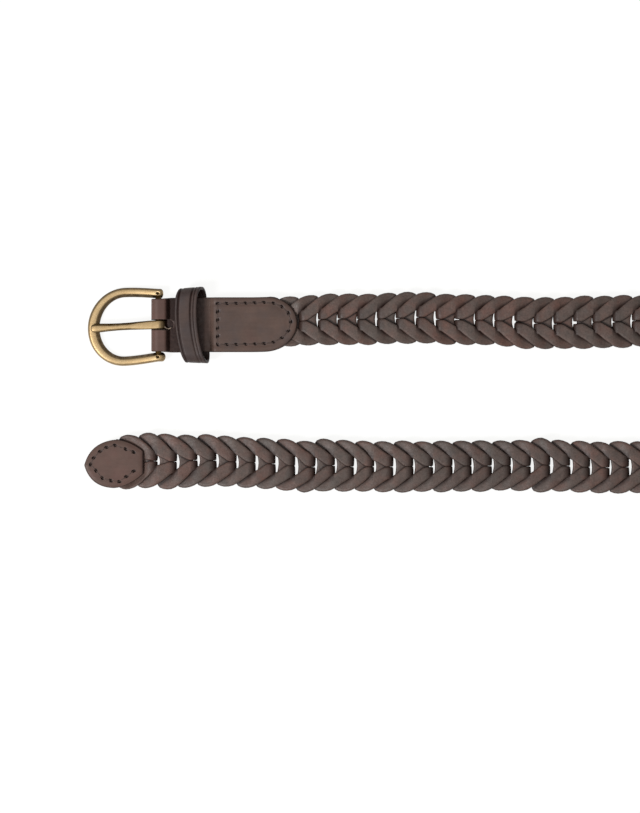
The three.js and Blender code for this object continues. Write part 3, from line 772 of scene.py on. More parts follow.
def stitch_hole():
    """The punched inside of a stitch hole: raw fibres of 0.2 mm, nearly black with dye and wax."""
    hole = bpy.context.scene.belt_colours.hole
    return matte_finish("dyed hole fibres", hole, 0.2 * MM, 0.08 * MM, 0.8, Roughness=0.9)


def raw_edge_and_highlight():
    """The skived edge of the slot, where undyed fibres of a quarter millimetre show: pale brown and
    matte. Its paleness is partly a painted highlight of the slot's lit wall."""
    pale = linear_colour("#8d7c6c")
    return matte_finish("raw leather edge and painted highlight", pale, 0.25 * MM, 0.08 * MM, 0.8, Roughness=0.8)


def tarnished_brass():
    """Brass that polishing doesn't reach: dark brown and rough with pits of 0.3 mm from the casting
    sand."""
    tarnish = bpy.context.scene.belt_colours.tarnish
    return matte_finish("tarnished brass", tarnish, 0.3 * MM, 0.04 * MM, 0.5, Metallic=1.0, Roughness=0.45)


def aged_brass():
    """Cast brass with a brushed, slightly tarnished skin: tan gold, browner in slow clouds and fine
    specks, brown on its sides, partly as tarnish and partly as painted shade, roughness broken by
    brushing along the strap."""
    colours = bpy.context.scene.belt_colours
    material, tree, shader, node = new_material("aged brass", Base_Color=colours.brass, Metallic=1.0)
    brown = linear_colour("#967447")
    # Clouds of tarnish 5 mm wide, patches on the sides of 2 mm, specks of half a millimetre
    cloud = node("MapRange", (mottling(tree, 5 * MM, 4.0, 0.6), 0.35, 0.75, 0.0, 0.35))
    speck = node("MapRange", (mottling(tree, 0.5 * MM, 3.0, 0.6), 0.5, 0.75, 0.0, 0.4))
    clouded = node("Mix", {0: cloud, 6: colours.brass, 7: brown}, 2, data_type="RGBA")
    polished = node("Mix", {0: speck, 6: clouded, 7: brown}, 2, data_type="RGBA")
    patchy = node("MapRange", (mottling(tree, 2 * MM, 3.0, 0.6), 0.3, 0.7, 0.75, 1.05))
    tarnish = node("Attribute", output="Fac", attribute_name="tarnish")
    sides = node("Math", (tarnish, patchy), operation="MULTIPLY")
    skin = node("Mix", {0: sides, 6: polished, 7: colours.tarnish}, 2, data_type="RGBA")
    # Brush lines half a millimetre wide and five times as long, and pits of 0.35 mm
    brushed = mottling(tree, 0.5 * MM, 3.0, 0.6, (0.2, 1.0, 1.0))
    brushed = node("MapRange", (brushed, 0.3, 0.7, 0.42, 0.56))
    pits = mottling(tree, 0.35 * MM, 3.0, 0.6)
    normal = node("Bump", {"Height": pits, "Strength": 0.35, "Distance": 0.03 * MM})
    feed(tree, shader, {"Base Color": skin, "Roughness": brushed, "Normal": normal})
    return material


def pale_floor():
    """Matte white paper on a light table, so that shadows on it stay faint."""
    lit = {"Emission_Color": bpy.context.scene.belt_colours.floor, "Emission_Strength": 0.92}
    grey = (0.13, 0.13, 0.13, 1.0)
    return new_material("paper floor", Base_Color=grey, Roughness=0.9, Specular_IOR_Level=0.0, **lit)[0]


def finish_of(name, maker):
    """The material of a name, made the first time it is asked for."""
    return bpy.data.materials.get(name) or maker()


def strap_profile(strap):
    """Side view of the folded strap from the upper tab over the bar to the lower: x, height above the
    belt's middle, outward direction and thickness of the leather. The leaves are level, drop by a
    smooth step to the pressed neck, rise by another to a short flat beside the bar, and round the bar
    the leather follows a circle."""
    leaf = MIDDLE - strap.leather / 2
    pressed = strap.neck / 4
    leather = strap.leather
    radius = strap.bar / 2 + strap.gap + leather / 2
    ramp_end = strap.neck_end + strap.neck_ramp
    flat = np.linspace(ramp_end + 1.2 * MM, ramp_end, 3, endpoint=False)
    ramp = np.linspace(ramp_end, strap.neck_end - 0.6 * MM, 11)
    neck = np.linspace(strap.neck_end - 1.4 * MM, strap.neck_start, 20)
    arc = np.linspace(math.radians(85), math.pi, 20)
    rise = smooth_step(ramp, strap.neck_end - 0.6 * MM, ramp_end)
    arc_x, arc_z = radius * np.cos(arc), radius * np.sin(arc)
    bend_x = np.linspace(neck[-1], arc_x[0], 20)[1:-1]
    bend = smooth_step(bend_x, neck[-1], neck[-1] - 2.1 * MM)
    bend_z = pressed + (arc_z[0] - 0.05 * bend_x - pressed) * bend
    # One leaf from the tab to the top of the bar, then the same mirrored underneath
    x = np.concatenate([flat, ramp, neck, bend_x, arc_x])
    ramp_z = pressed + (leaf - pressed) * rise
    z = np.concatenate([flat * 0 + leaf, ramp_z, neck * 0 + pressed, bend_z, arc_z])
    thin = np.concatenate([flat * 0, 1 - rise, neck * 0 + 1, 1 - bend, arc * 0])
    thick = leather + (strap.neck / 2 - 0.04 * MM - leather) * thin
    x, z, thick = (np.concatenate([v, s * v[-2::-1]]) for v, s in ((x, 1), (z, -1), (thick, 1)))
    run = np.stack([np.gradient(x), np.gradient(z)], axis=1)
    run /= np.linalg.norm(run, axis=1, keepdims=True)
    return x, z, np.stack([-run[:, 1], run[:, 0]], axis=1) * -1, thick


def fold_strap():
    """The strap folded round the bar: its profile carried across the width, with both tabs' rows
    stretched from a straight line to the half ellipse of their end and shifted sideways towards it, a
    soft rim, and the prong's slot cut through the fold."""
    strap = bpy.context.scene.belt_strap
    x, z, outward, thick = strap_profile(strap)
    side = strap.width / 2
    q = np.sin(np.linspace(-math.pi / 2, math.pi / 2, 57))
    fine = np.array([0.028, 0.019, 0.012, 0.007, 0.003, 0.001, 0.0])
    share = np.concatenate([np.linspace(0, 0.96, 27), 1 - fine])
    side_x = strap.tab_end - strap.tab_rounding - x[0]
    tab = x[0] + share[1:, None] * (side_x + strap.tab_rounding * np.sqrt(np.maximum(1 - q**2, 0)))
    ones = np.ones_like(q)
    # The lower tab is a little longer than the upper one, and shows past its end
    longer = 0.7 * MM * smooth_step(tab, 45 * MM, 64 * MM)
    rows_x = np.concatenate([tab[::-1], x[:, None] * ones, tab + longer])
    leaf = np.full(len(tab), z[0])
    rows_z = np.concatenate([leaf, z, -leaf])[:, None] * ones
    up = np.tile([0.0, 1.0], (len(tab), 1))
    normal = np.concatenate([up, outward, -up])
    thickness = np.concatenate([leaf * 0 + thick[0], thick, leaf * 0 + thick[0]])[:, None] * ones
    # The leather is a little narrower round the bar
    y = np.broadcast_to(side * q, rows_x.shape)
    waist = 1 - 0.035 * (1 - smooth_step(rows_x, 0, 7 * MM))
    middle = from_bar(rows_x, y * waist + tab_shift(strap, rows_x), MIDDLE + rows_z)
    directions = np.stack([normal[:, 0], normal[:, 0] * 0, normal[:, 1]], axis=1)[:, None] * ones[:, None]
    flat_x = np.concatenate([tab[::-1], x[:, None] * ones, tab])
    inset = np.maximum(tab_inset(strap, flat_x, y), 0)
    on_tab = smooth_step(rows_x, 22 * MM, 28 * MM)
    seam = np.exp(-(((inset - strap.stitch_inset) / SEAM_DIP[0]) ** 2)) * SEAM_DIP[1]
    rim = (np.clip(1 - inset / TAB_RIM[0], 0, 1) ** 2 * TAB_RIM[1] + seam) * on_tab
    # Darker leather along the tab's edge; painted shade behind the bight, where it shades the neck, and a
    # painted shadow of the keeper in a band beside it
    dark = smooth_step(rows_x, 2.8 * MM, 3.4 * MM) * (1 - smooth_step(rows_x, 10 * MM, 17 * MM))
    dark = dark * (0.97 + 0.13 * y / side) + 0.25 * (1 - smooth_step(inset, 0, 0.9 * MM)) * on_tab
    wear_and_shadow = smooth_step(rows_x, 9 * MM, 14 * MM) * (1 - smooth_step(rows_x, 20.6 * MM, 22.0 * MM))
    dark = np.maximum(dark, 0.85 * wear_and_shadow)
    warmth = 0.5 + 0.35 * (1 - smooth_step(rows_x, 3 * MM, 26 * MM))
    material = finish_of("smooth strap leather", strap_leather)
    piece = sheet_piece(
        "folded_strap", middle, directions, thickness, inset, material, False, rim, warmth, dark
    )
    # The slot is wider in the upper leather than in the lower
    turn = np.linspace(math.pi / 2, -math.pi / 2, 17)
    for end, half, low, high in (
        (strap.slot_end, strap.slot_side, MIDDLE, 8 * MM),
        (3.1 * MM, strap.slot_side - 0.3 * MM, -1 * MM, MIDDLE),
    ):
        outline_x = np.concatenate([[-6 * MM], end - half + half * np.cos(turn), [-6 * MM]])
        outline_y = np.concatenate([[half], half * np.sin(turn), [-half]]) + strap.slot_left
        solid = from_bar(outline_x, outline_y, np.array([[low], [high]]))
        cut_away(piece, solid, grid_quads(2, len(outline_x), False, True), material)
    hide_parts("chape_strap")
    trim_slot(strap)


def trim_slot(strap):
    """The pale lower rim of the slot, raw leather that also serves as a painted highlight: a ring of eight
    points carried along part of the slot's round end and shrunk to nothing at both of its ends."""
    t = np.linspace(0, 1, 25)
    turn = np.radians(-170 + 130 * t)[:, None]
    around = np.linspace(0, 2 * math.pi, 8, endpoint=False)
    thick = 0.26 * MM * np.sqrt(np.clip(1 - (2 * t - 1) ** 4, 0, 1))[:, None]
    radius = strap.slot_side - 0.45 * MM + thick * np.cos(around)
    x = strap.slot_end - strap.slot_side + radius * np.cos(turn)
    y = strap.slot_left + radius * np.sin(turn)
    points = from_bar(x, y, 4.55 * MM + thick * np.sin(around))
    quads = grid_quads(len(t), len(around), False, True)
    material = finish_of("raw leather edge and painted highlight", raw_edge_and_highlight)
    new_piece("slot_rim", points, quads, material, "strap")


def bend_keeper():
    """The keeper: a band carried round a rectangle with round corners, its top leaning to the buckle
    and bowed, a little longer towards the tab, with a creased line pressed in along each edge."""
    strap = bpy.context.scene.belt_strap
    wide, high = strap.keeper_width - strap.leather, strap.keeper_height - strap.leather
    corner = strap.keeper_corner - strap.leather / 2
    # Round the loop: a corner and the straight run after it, four times, with the outward direction
    angle = np.linspace(0, math.pi / 2, 11)
    y, z, ny, nz = [], [], [], []
    for sign_y, sign_z, start in ((1, 1, 0), (-1, 1, 1), (-1, -1, 2), (1, -1, 3)):
        a = angle + start * math.pi / 2
        steps = np.linspace(0, 1, 22 if start in (0, 2) else 6)[1:-1]
        y.append(sign_y * (wide / 2 - corner) + corner * np.cos(a))
        z.append(sign_z * (high / 2 - corner) + corner * np.sin(a))
        ny.append(np.concatenate([np.cos(a), np.cos(a[-1]) + 0 * steps]))
        nz.append(np.concatenate([np.sin(a), np.sin(a[-1]) + 0 * steps]))
        if start in (0, 2):
            y.append(sign_y * (wide / 2 - corner) * (1 - 2 * steps))
            z.append(sign_z * high / 2 + 0 * steps)
        else:
            y.append(sign_y * wide / 2 + 0 * steps)
            z.append(sign_z * (high / 2 - corner) * (1 - 2 * steps))
    y, z, ny, nz = (np.concatenate(v)[:, None] for v in (y, z, ny, nz))
    height = z + strap.keeper_height / 2
    band = strap.keeper_band
    places = (edge_spread(61, 0.45 * MM, band / 2) + 1) / 2 * band
    # Along the belt: the foot is skewed, and the top leans to the buckle, skewed and bowed
    across = y / (strap.keeper_width / 2)
    foot = -0.6 * MM - 0.95 * MM * across
    lean = -strap.keeper_lean - strap.keeper_twist * across + strap.keeper_bulge * across**2
    share = height / strap.keeper_height
    x = strap.keeper_foot + foot * (1 - share) + share * lean + places[None]
    inset = np.minimum(places, band - places)[None] + 0 * y
    line = 0 * across
    for place, width, depth, gain in KEEPER_LINES.tolist():
        from_line = places - place * MM - (band if place < 0 else 0)
        line = line + np.exp(-((from_line / (width * MM)) ** 2))[None] * (depth + gain * across)
    # The band is crowned between its edges, and wider across the belt towards the tab
    crown = KEEPER_CROWN * (1 - (2 * places / band - 1) ** 2)[None] * np.abs(nz)
    longer = np.where(y > 0, 0.026, 0.010) * (2 * places / band - 1)[None] + np.where(y > 0, -0.004, 0.006)
    middle = from_bar(x, y * (1 + longer), height)
    outward = np.stack(np.broadcast_arrays(0 * x, ny, nz), axis=-1)
    middle = middle + outward * (crown - KEEPER_CROWN)[..., None]
    material = finish_of("smooth strap leather", strap_leather)
    thickness = np.full(x.shape, strap.leather - 0.1 * MM)
    # Painted shade in the pressed lines, on the loop's underside and on its sides, over a darker tone all over
    dark = 0.22 + 0.95 * np.clip(line, 0, 1) + 0.3 * smooth_step(-nz, 0.0, 1.0) + 0.2 * ny**2
    relief = 0.5 * MM * np.minimum(line, 1.2)
    piece = sheet_piece("keeper_band", middle, outward, thickness, inset, material, True, relief, 0.0, dark)
    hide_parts("keeper_loop")


def cut_patches():
    """The two leaves of the tip patch: rows from the tip to the square end, as wide as the patch's
    outline, with a soft rim outside the stitches."""
    strap, sizes = bpy.context.scene.belt_strap, bpy.context.scene.belt_braid
    _, route = route_stretches(sizes)
    fine = np.array([0.03, 0.018, 0.011, 0.006, 0.002, 0.0])
    share = np.concatenate([np.linspace(0, 0.965, 44) ** 1.5, 1 - fine])
    q = np.sin(np.linspace(-math.pi / 2, math.pi / 2, 45))
    from_tip = share[:, None] * strap.patch_length + 0 * q
    across = patch_half_width(strap, from_tip) * q
    inset = np.maximum(patch_inset(strap, from_tip, across), 0)
    rim = np.clip(1 - inset / PATCH_RIM[0], 0, 1) ** 2 * PATCH_RIM[1]
    # Painted shade along the square end, and darker near the edge all round
    dark = 0.75 * smooth_step(from_tip, strap.patch_length - 1.0 * MM, strap.patch_length - 0.3 * MM)
    dark = dark + 0.3 * (1 - smooth_step(inset, 0, 0.8 * MM))
    material = finish_of("smooth strap leather", strap_leather)
    for name, node, level, sign in (
        ("tip_leaf_front", "tip_patch_front", BELT_THICKNESS - strap.leather / 2, 1),
        ("tip_leaf_back", "tip_patch_back", strap.leather / 2, -1),
    ):
        middle = on_route(sizes, route - from_tip, -across, level + 0 * across)
        outward = np.broadcast_to([0.0, 0.0, float(sign)], middle.shape)
        thickness = np.full(inset.shape, strap.leather)
        piece = sheet_piece(name, middle, outward, thickness, inset, material, False, rim, 0.8, dark)
        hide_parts(node)


def plate(name, places, half, material):
    """A flat filler between two leaves: the outline shrunk towards its middle to a point, on both
    faces."""
    rings = np.array([1.0, 0.985, 0.96, 0.9, 0.0])
    centre = places[..., :2].mean(axis=0)
    flat = centre + (places[None, :, :2] - centre) * rings[:, None, None]
    rise = half * np.array([0.0, 0.75, 1.0, 1.0, 1.0])[:, None]
    top = np.concatenate([flat, np.broadcast_to(MIDDLE + rise[..., None], flat.shape[:2] + (1,))], axis=-1)
    low = np.concatenate([flat, np.broadcast_to(MIDDLE - rise[..., None], flat.shape[:2] + (1,))], axis=-1)
    points = np.concatenate([top[::-1], low[1:]])
    quads = grid_quads(len(points), points.shape[1], False, True)
    # The fillers are dark: the edge colour all over and, with along 0, the braid's painted fold shade too
    edge = np.ones(points.shape[:2])
    attributes = {"edge": edge, "tone": edge * 0.4, "warmth": edge * 0.5, "along": edge * 0, "beside": edge}
    new_piece(name, points, quads, material, "strap", True, attributes)


def fill_leaves():
    """The fillers in the slits between the tab's leaves and the patch's, their outlines set in by the
    gap, and the strap's tongue that comes out of the tab into the first link."""
    strap, sizes = bpy.context.scene.belt_strap, bpy.context.scene.belt_braid
    _, route = route_stretches(sizes)
    material = finish_of("dyed braid leather", braid_leather)
    half = MIDDLE - strap.leather - strap.gap - 0.12 * MM
    side, long = strap.width / 2 - strap.gap, strap.tab_rounding - strap.gap
    # The tab's filler: along one side, round the end and back along the other side
    turn = np.linspace(-math.pi / 2, math.pi / 2, 40)
    shoulder = strap.tab_end - strap.tab_rounding
    start = strap.neck_end + strap.neck_ramp + 1.6 * MM
    x = np.concatenate([np.linspace(start, shoulder, 24, endpoint=False), shoulder + long * np.cos(turn)])
    y = np.concatenate([np.full(24, -side), side * np.sin(turn)])
    x = np.concatenate([x, np.linspace(shoulder, start, 25)[1:]])
    y = np.concatenate([y, np.full(24, side)])
    plate("tab_filler", from_bar(x, y + tab_shift(strap, x), MIDDLE), half, material)
    # The tongue: an oval half under the tab's end
    round_turn = np.linspace(0, 2 * math.pi, 40, endpoint=False)
    x = strap.tab_end - 2 * MM + 4.2 * MM * np.cos(round_turn)
    y = 8.2 * MM * np.sin(round_turn) + tab_shift(strap, x)
    plate("strap_tongue", from_bar(x, y, MIDDLE), 0.5 * MM, material)
    # The patch's filler: its outline out on one side and back on the other, where it has any width
    from_tip = np.linspace(0, 1, 50) ** 1.5 * (strap.patch_length - 1 * MM)
    width = np.maximum(patch_half_width(strap, from_tip) - strap.gap * 1.6, 0)
    from_tip, width = from_tip[width > 0], width[width > 0]
    along = np.concatenate([from_tip, from_tip[::-1]])
    across = np.concatenate([width, -width[::-1]])
    plate("tip_filler", on_route(sizes, route - along, across, MIDDLE + 0 * along), half, material)


def even_places(points, count):
    """Places at equal distances along a line of points, with both ends."""
    steps = np.linalg.norm(np.diff(points, axis=0), axis=1)
    gone = np.concatenate([[0], np.cumsum(steps)])
    wanted = np.linspace(0, gone[-1], count)
    return np.stack([np.interp(wanted, gone, points[:, i]) for i in range(points.shape[1])], axis=1)


def tab_ring(strap):
    """Holes round the tab, a set distance inside its edge: a line along the sides and the end, and a
    column across."""
    side = strap.width / 2 - strap.stitch_inset
    long = strap.tab_rounding - strap.stitch_inset + 0.3 * MM
    shoulder = strap.tab_end - strap.tab_rounding
    turn = np.linspace(-math.pi / 2, math.pi / 2, 60)
    x = np.concatenate([[strap.stitch_start], shoulder + long * np.cos(turn), [strap.stitch_start]])
    y = np.concatenate([[-side], side * np.sin(turn), [side]])
    run = even_places(np.stack([x, y], axis=1), strap.tab_stitches)
    column = even_places(np.array([[strap.stitch_start, side], [strap.stitch_start, -side]]), 6)
    ring = np.concatenate([run, column[1:-1]])
    ring[:, 1] += tab_shift(strap, ring[:, 0]) + 0.3 * MM * (1 + smooth_step(ring[:, 0], 30 * MM, 50 * MM))
    return ring


def ring_directions(holes, closed):
    """Direction of the seam at each hole, from the hole before it to the hole after it."""
    after, before = np.roll(holes, -1, axis=0), np.roll(holes, 1, axis=0)
    if not closed:
        after[-1], before[0] = holes[-1], holes[0]
    run = after - before
    return run / np.linalg.norm(run, axis=1, keepdims=True)


def sew(name, holes, closed, height, sign, strap):
    """Thread from hole to hole: it lies on the leather and dips into it at both ends on a flattened
    sine; round each place along it runs a ring of eight points, which shrinks to nothing at the
    ends."""
    ends = np.roll(holes, -1, axis=0)
    if not closed:
        holes, ends = holes[:-1], ends[:-1]
    t = (1 - np.cos(np.linspace(0, math.pi, 15))) / 2
    radius = strap.thread / 2
    span = ends - holes
    middle = holes[:, None] + span[:, None] * t[:, None]
    lift = -radius * 0.55 - 1.2 * MM * (1 - np.sin(math.pi * t).clip(0, 1) ** 0.22)
    direction = span / np.linalg.norm(span, axis=1, keepdims=True)
    across = np.stack([-direction[:, 1], direction[:, 0]], axis=1)
    a = np.linspace(0, 2 * math.pi, 8, endpoint=False)
    swell = radius * np.sqrt(np.clip(1 - (2 * t - 1) ** 10, 0, 1))
    flat = middle[:, :, None] + across[:, None, None] * (swell[:, None] * np.cos(a))[None, ..., None]
    level = height + sign * (lift[:, None] + swell[:, None] * np.sin(a))
    level = np.broadcast_to(level, flat.shape[:3])
    points = np.concatenate([flat, level[..., None]], axis=-1)
    quads = repeated_quads(len(holes), len(t), len(a), False)
    new_piece(name, points, quads, finish_of("waxed thread", waxed_thread), "strap")


def punch(piece, holes, closed, height, sign):
    """Punches slanted oval holes into the face of a leaf: each is an oval along the seam, turned from
    it by the awl's slant, and narrows as it goes in."""
    a = np.linspace(0, 2 * math.pi, 12, endpoint=False)
    long, short = AWL_LONG * np.cos(a), AWL_SHORT * np.sin(a)
    along_seam = long * math.cos(AWL_SLANT) - short * math.sin(AWL_SLANT)
    beside_seam = long * math.sin(AWL_SLANT) + short * math.cos(AWL_SLANT)
    oval = np.stack([along_seam, beside_seam], axis=1)
    run = ring_directions(holes, closed)
    side = np.stack([-run[:, 1], run[:, 0]], axis=1)
    ring = oval[None, :, :1] * run[:, None] + oval[None, :, 1:] * side[:, None]
    levels = height + sign * HOLE_RINGS["level"] * MM
    flat = holes[:, None, None] + ring[:, None] * HOLE_RINGS["share"][:, None, None]
    level = np.broadcast_to(levels[:, None], flat.shape[:3])
    points = np.concatenate([flat, level[..., None]], axis=-1)
    quads = repeated_quads(len(holes), len(HOLE_RINGS), len(a), False)
    cut_away(piece, points, quads, finish_of("dyed hole fibres", stitch_hole))


def sew_stitches():
    """Stitches on both faces of the tab and of the tip patch, each sewn through its own punched
    holes."""
    strap, sizes = bpy.context.scene.belt_strap, bpy.context.scene.belt_braid
    _, route = route_stretches(sizes)
    tab = tab_ring(strap) + BAR[:2]
    from_tip, left = PATCH_HOLES["from_tip"] * MM, PATCH_HOLES["left"] * MM
    tip = on_route(sizes, route - from_tip, left, 0 * left)[:, :2]
    for name, holes, closed, target, height, sign in (
        ("tab_thread_front", tab, True, "folded_strap", BELT_THICKNESS, 1),
        ("tab_thread_back", tab, True, "folded_strap", 0.0, -1),
        ("tip_thread_front", tip, False, "tip_leaf_front", BELT_THICKNESS, 1),
        ("tip_thread_back", tip, False, "tip_leaf_back", 0.0, -1),
    ):
        punch(bpy.data.objects[target], holes, closed, height, sign)
        sew(name, holes, closed, height, sign, strap)


def weave_braid():
    """The chain of links in the two halves of the belt, and the fillers at its two ends."""
    sizes = bpy.context.scene.belt_braid
    material = finish_of("dyed braid leather", braid_leather)
    middle = sizes.link_count // 2
    make_links("links_buckle_half", "braid_buckle_half", 0, middle - 1, material, 0.35 * MM, 0.85)
    make_links("links_tip_half", "braid_tip_half", middle, sizes.link_count - 1, material, -0.15 * MM)
    fill_leaves()


def horseshoe(sizes):
    """The frame's outer and inner line and base height, from one lug's end round the bow to the other:
    arms that close in on an easing curve, a half ellipse, and a lug that narrows to a round end."""
    bow_x = -(sizes.reach - sizes.bow_length)
    lug = sizes.lug_length
    half = sizes.arm_band / 2
    lug_turn = np.linspace(0.15, math.pi / 2, 9)
    rounding = half * 0.85
    lug_end = lug - rounding * (1 - np.cos(lug_turn))
    x = np.concatenate([lug_end, np.linspace(lug - rounding, bow_x, 22)[1:]])
    round_end = np.concatenate([np.sin(lug_turn), np.ones(21)])
    share = np.clip((x - bow_x) / -bow_x, 0, 1)
    share = share**2 * (1.6 - 0.6 * share)
    outer_bar = sizes.lug_inside + sizes.arm_band
    outer = sizes.width / 2 + (outer_bar - sizes.width / 2) * share
    inner_bow = sizes.width / 2 - sizes.arm_band
    inner = inner_bow + (sizes.lug_inside - inner_bow) * share
    centre = (outer + inner) / 2
    reach = (outer - inner) / 2 * round_end
    turn = np.linspace(math.pi / 2, -math.pi / 2, 57)[1:-1]
    outer_arc = np.stack([bow_x - sizes.bow_length * np.cos(turn), sizes.width / 2 * np.sin(turn)], axis=1)
    inner_long = sizes.bow_length - sizes.bow_band
    inner_arc = np.stack([bow_x - inner_long * np.cos(turn), inner_bow * np.sin(turn)], axis=1)
    outer_arm = np.stack([x, centre + reach], axis=1)
    inner_arm = np.stack([x, centre - reach], axis=1)
    flip = np.array([1, -1])
    outer_line = np.concatenate([outer_arm, outer_arc, (outer_arm * flip)[::-1]])
    inner_line = np.concatenate([inner_arm, inner_arc, (inner_arm * flip)[::-1]])
    rise = np.clip((outer_line[:, 0] + inner_line[:, 0]) / 2 / bow_x, 0, 1)
    domed = np.concatenate([round_end, np.ones(len(turn)), round_end[::-1]])
    return outer_line, inner_line, LUG_RISE * (1 - rise) ** 1.6, domed


def cast_buckle():
    """The horseshoe frame: its cast section carried between its outer and inner line, with a dimple in
    each lug over the bar's end, and the bar between the lugs. Tarnish, partly painted shade, is the
    section's, and heavier as painted shade on the outside of one arm."""
    sizes, strap = bpy.context.scene.belt_buckle, bpy.context.scene.belt_strap
    outer, inner, base, domed = horseshoe(sizes)
    across = FRAME_SECTION["across"][None, :, None]
    flat = outer[:, None] + (inner - outer)[:, None] * across
    y = flat[..., 1] + sizes.skew * np.minimum(flat[..., 0], 0)
    # Past the bar the lugs are drawn in, taper and droop
    past = np.maximum(flat[..., 0], 0)
    x = flat[..., 0] - past * np.where(flat[..., 1] > 0, 0.34, 0.03)
    lift = 0.5 + (FRAME_SECTION["height"][None] - 0.5) * (0.66 + 0.34 * domed[:, None])
    height = base[:, None] + sizes.height * lift - 0.9 * MM * (past / sizes.lug_length) ** 2 * lift
    points = from_bar(x, y, height)
    ends = [np.broadcast_to(ring.mean(axis=0), ring.shape)[None] for ring in (points[0], points[-1])]
    points = np.concatenate([ends[0], points, ends[1]])
    quads = grid_quads(len(points), len(FRAME_SECTION), False, True)
    # Painted shade: the left arm's outside, away from the light, is darker than the right arm's
    outside = FRAME_SECTION["across"][None] < 0.3
    heavier_shade = np.clip(0.75 + 1.2 * flat[..., 1] / (sizes.width / 2), 0.35, 1.9)
    tarnish = np.clip(FRAME_SECTION["tarnish"][None] * np.where(outside, heavier_shade, 1.0), 0, 1)
    tarnish = np.concatenate([tarnish[:1], tarnish, tarnish[-1:]])
    material = finish_of("aged brass", aged_brass)
    tarnish = {"tarnish": tarnish}
    piece = new_piece("horseshoe_frame", points, quads, material, "frame", True, tarnish)
    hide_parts("buckle_frame")
    # The dimples are cones with an uneven rim
    a = np.linspace(0, 2 * math.pi, 20, endpoint=False)
    uneven = 1 + 0.16 * np.cos(2 * a + 0.6) + 0.08 * np.cos(3 * a)
    radius = DIMPLE_RINGS["radius"][:, None] * MM * uneven
    levels = (LUG_RISE + sizes.height + DIMPLE_RINGS["level"] * MM)[:, None]
    centre_y = sizes.lug_inside + sizes.arm_band / 2
    for side in (-1, 1):
        cone = from_bar(radius * np.cos(a) - 0.4 * MM, side * centre_y + radius * np.sin(a), levels)
        quads = grid_quads(len(DIMPLE_RINGS), len(a), False, True)
        cut_away(piece, cone, quads, finish_of("tarnished brass", tarnished_brass))
    # The bar ends inside the lugs
    end = sizes.lug_inside + sizes.arm_band * 0.55
    places = np.array([-1.0, -1.0, -0.6, -0.2, 0.2, 0.6, 1.0, 1.0]) * end
    radius = np.array([0.0, 1, 1, 1, 1, 1, 1, 0.0]) * strap.bar / 2
    turn = np.linspace(0, 2 * math.pi, 28, endpoint=False)
    x, z = radius[:, None] * np.cos(turn), radius[:, None] * np.sin(turn)
    points = from_bar(x, places[:, None], MIDDLE + z)
    tarnish = {"tarnish": np.ones(points.shape[:2])}
    quads = grid_quads(len(places), len(turn), False, True)
    new_piece("buckle_bar", points, quads, material, "frame", True, tarnish)


def forge_prong():
    """The prong: its section carried straight from the tip to the bar and on round it, scaled by its
    stations, round at the waist and flat towards the bar."""
    sizes, strap = bpy.context.scene.belt_buckle, bpy.context.scene.belt_strap
    radius = strap.bar / 2 + strap.gap + sizes.prong / 2
    tip_x = -(sizes.reach - sizes.prong_from_edge)
    tip_z = sizes.height + strap.gap + sizes.prong / 2
    share = np.concatenate([PRONG_STATIONS["along"][:4], np.linspace(0.11, 1.0, 34)])
    x = tip_x * (1 - share)
    z = tip_z + (MIDDLE + radius - tip_z) * share
    width, thick, flat = (
        np.interp(share, PRONG_STATIONS["along"], PRONG_STATIONS[key])
        for key in ("width", "thickness", "flat")
    )
    # The last row closes the curl's end: it lies where the row before it does, with no width or thickness
    turn = np.linspace(0, sizes.prong_wrap, 40)[1:]
    turn = np.append(turn, turn[-1])
    x = np.concatenate([x, radius * np.sin(turn)])
    z = np.concatenate([z, MIDDLE + radius * np.cos(turn)])
    width = np.concatenate([width, np.full(len(turn) - 1, width[-1]), [0.0]])
    thick = np.concatenate([thick, np.ones(len(turn) - 1), [0.0]])
    flat = np.concatenate([flat, np.ones(len(turn))])[:, None]
    slope = math.atan2(MIDDLE + radius - tip_z, -tip_x)
    normal_x = np.concatenate([np.full(len(share), -math.sin(slope)), np.sin(turn)])
    normal_z = np.concatenate([np.full(len(share), math.cos(slope)), np.cos(turn)])
    section = PRONG_SECTION["across"] + (PRONG_SECTION["across_flat"] - PRONG_SECTION["across"]) * flat
    up = sizes.prong / 2 * thick[:, None] * PRONG_SECTION["height"]
    side = sizes.prong_width / 2 * width[:, None] * section
    y = side + sizes.prong_left + sizes.prong_skew * np.minimum(x, 0)[:, None]
    points = from_bar(x[:, None] + normal_x[:, None] * up, y, z[:, None] + normal_z[:, None] * up)
    quads = grid_quads(len(x), len(PRONG_SECTION), False, True)
    material = finish_of("aged brass", aged_brass)
    # The curl, down in the slot, is darker: partly tarnish, partly painted shade
    curl = smooth_step(np.arange(len(x)), len(share) - 1, len(share) + 12)[:, None]
    tarnish = np.maximum(PRONG_SECTION["tarnish"] + 0 * up, 0.85 * curl)
    piece = new_piece("prong", points, quads, material, "prong", True, {"tarnish": tarnish})
    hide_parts("buckle_prong")


def aimed_from(x, y, z):
    """Turns that point a lamp at the middle of the picture from an offset: tilt from the vertical, then
    heading."""
    return (math.atan2(math.hypot(x, y), z), 0.0, math.atan2(y, x) + math.pi / 2)


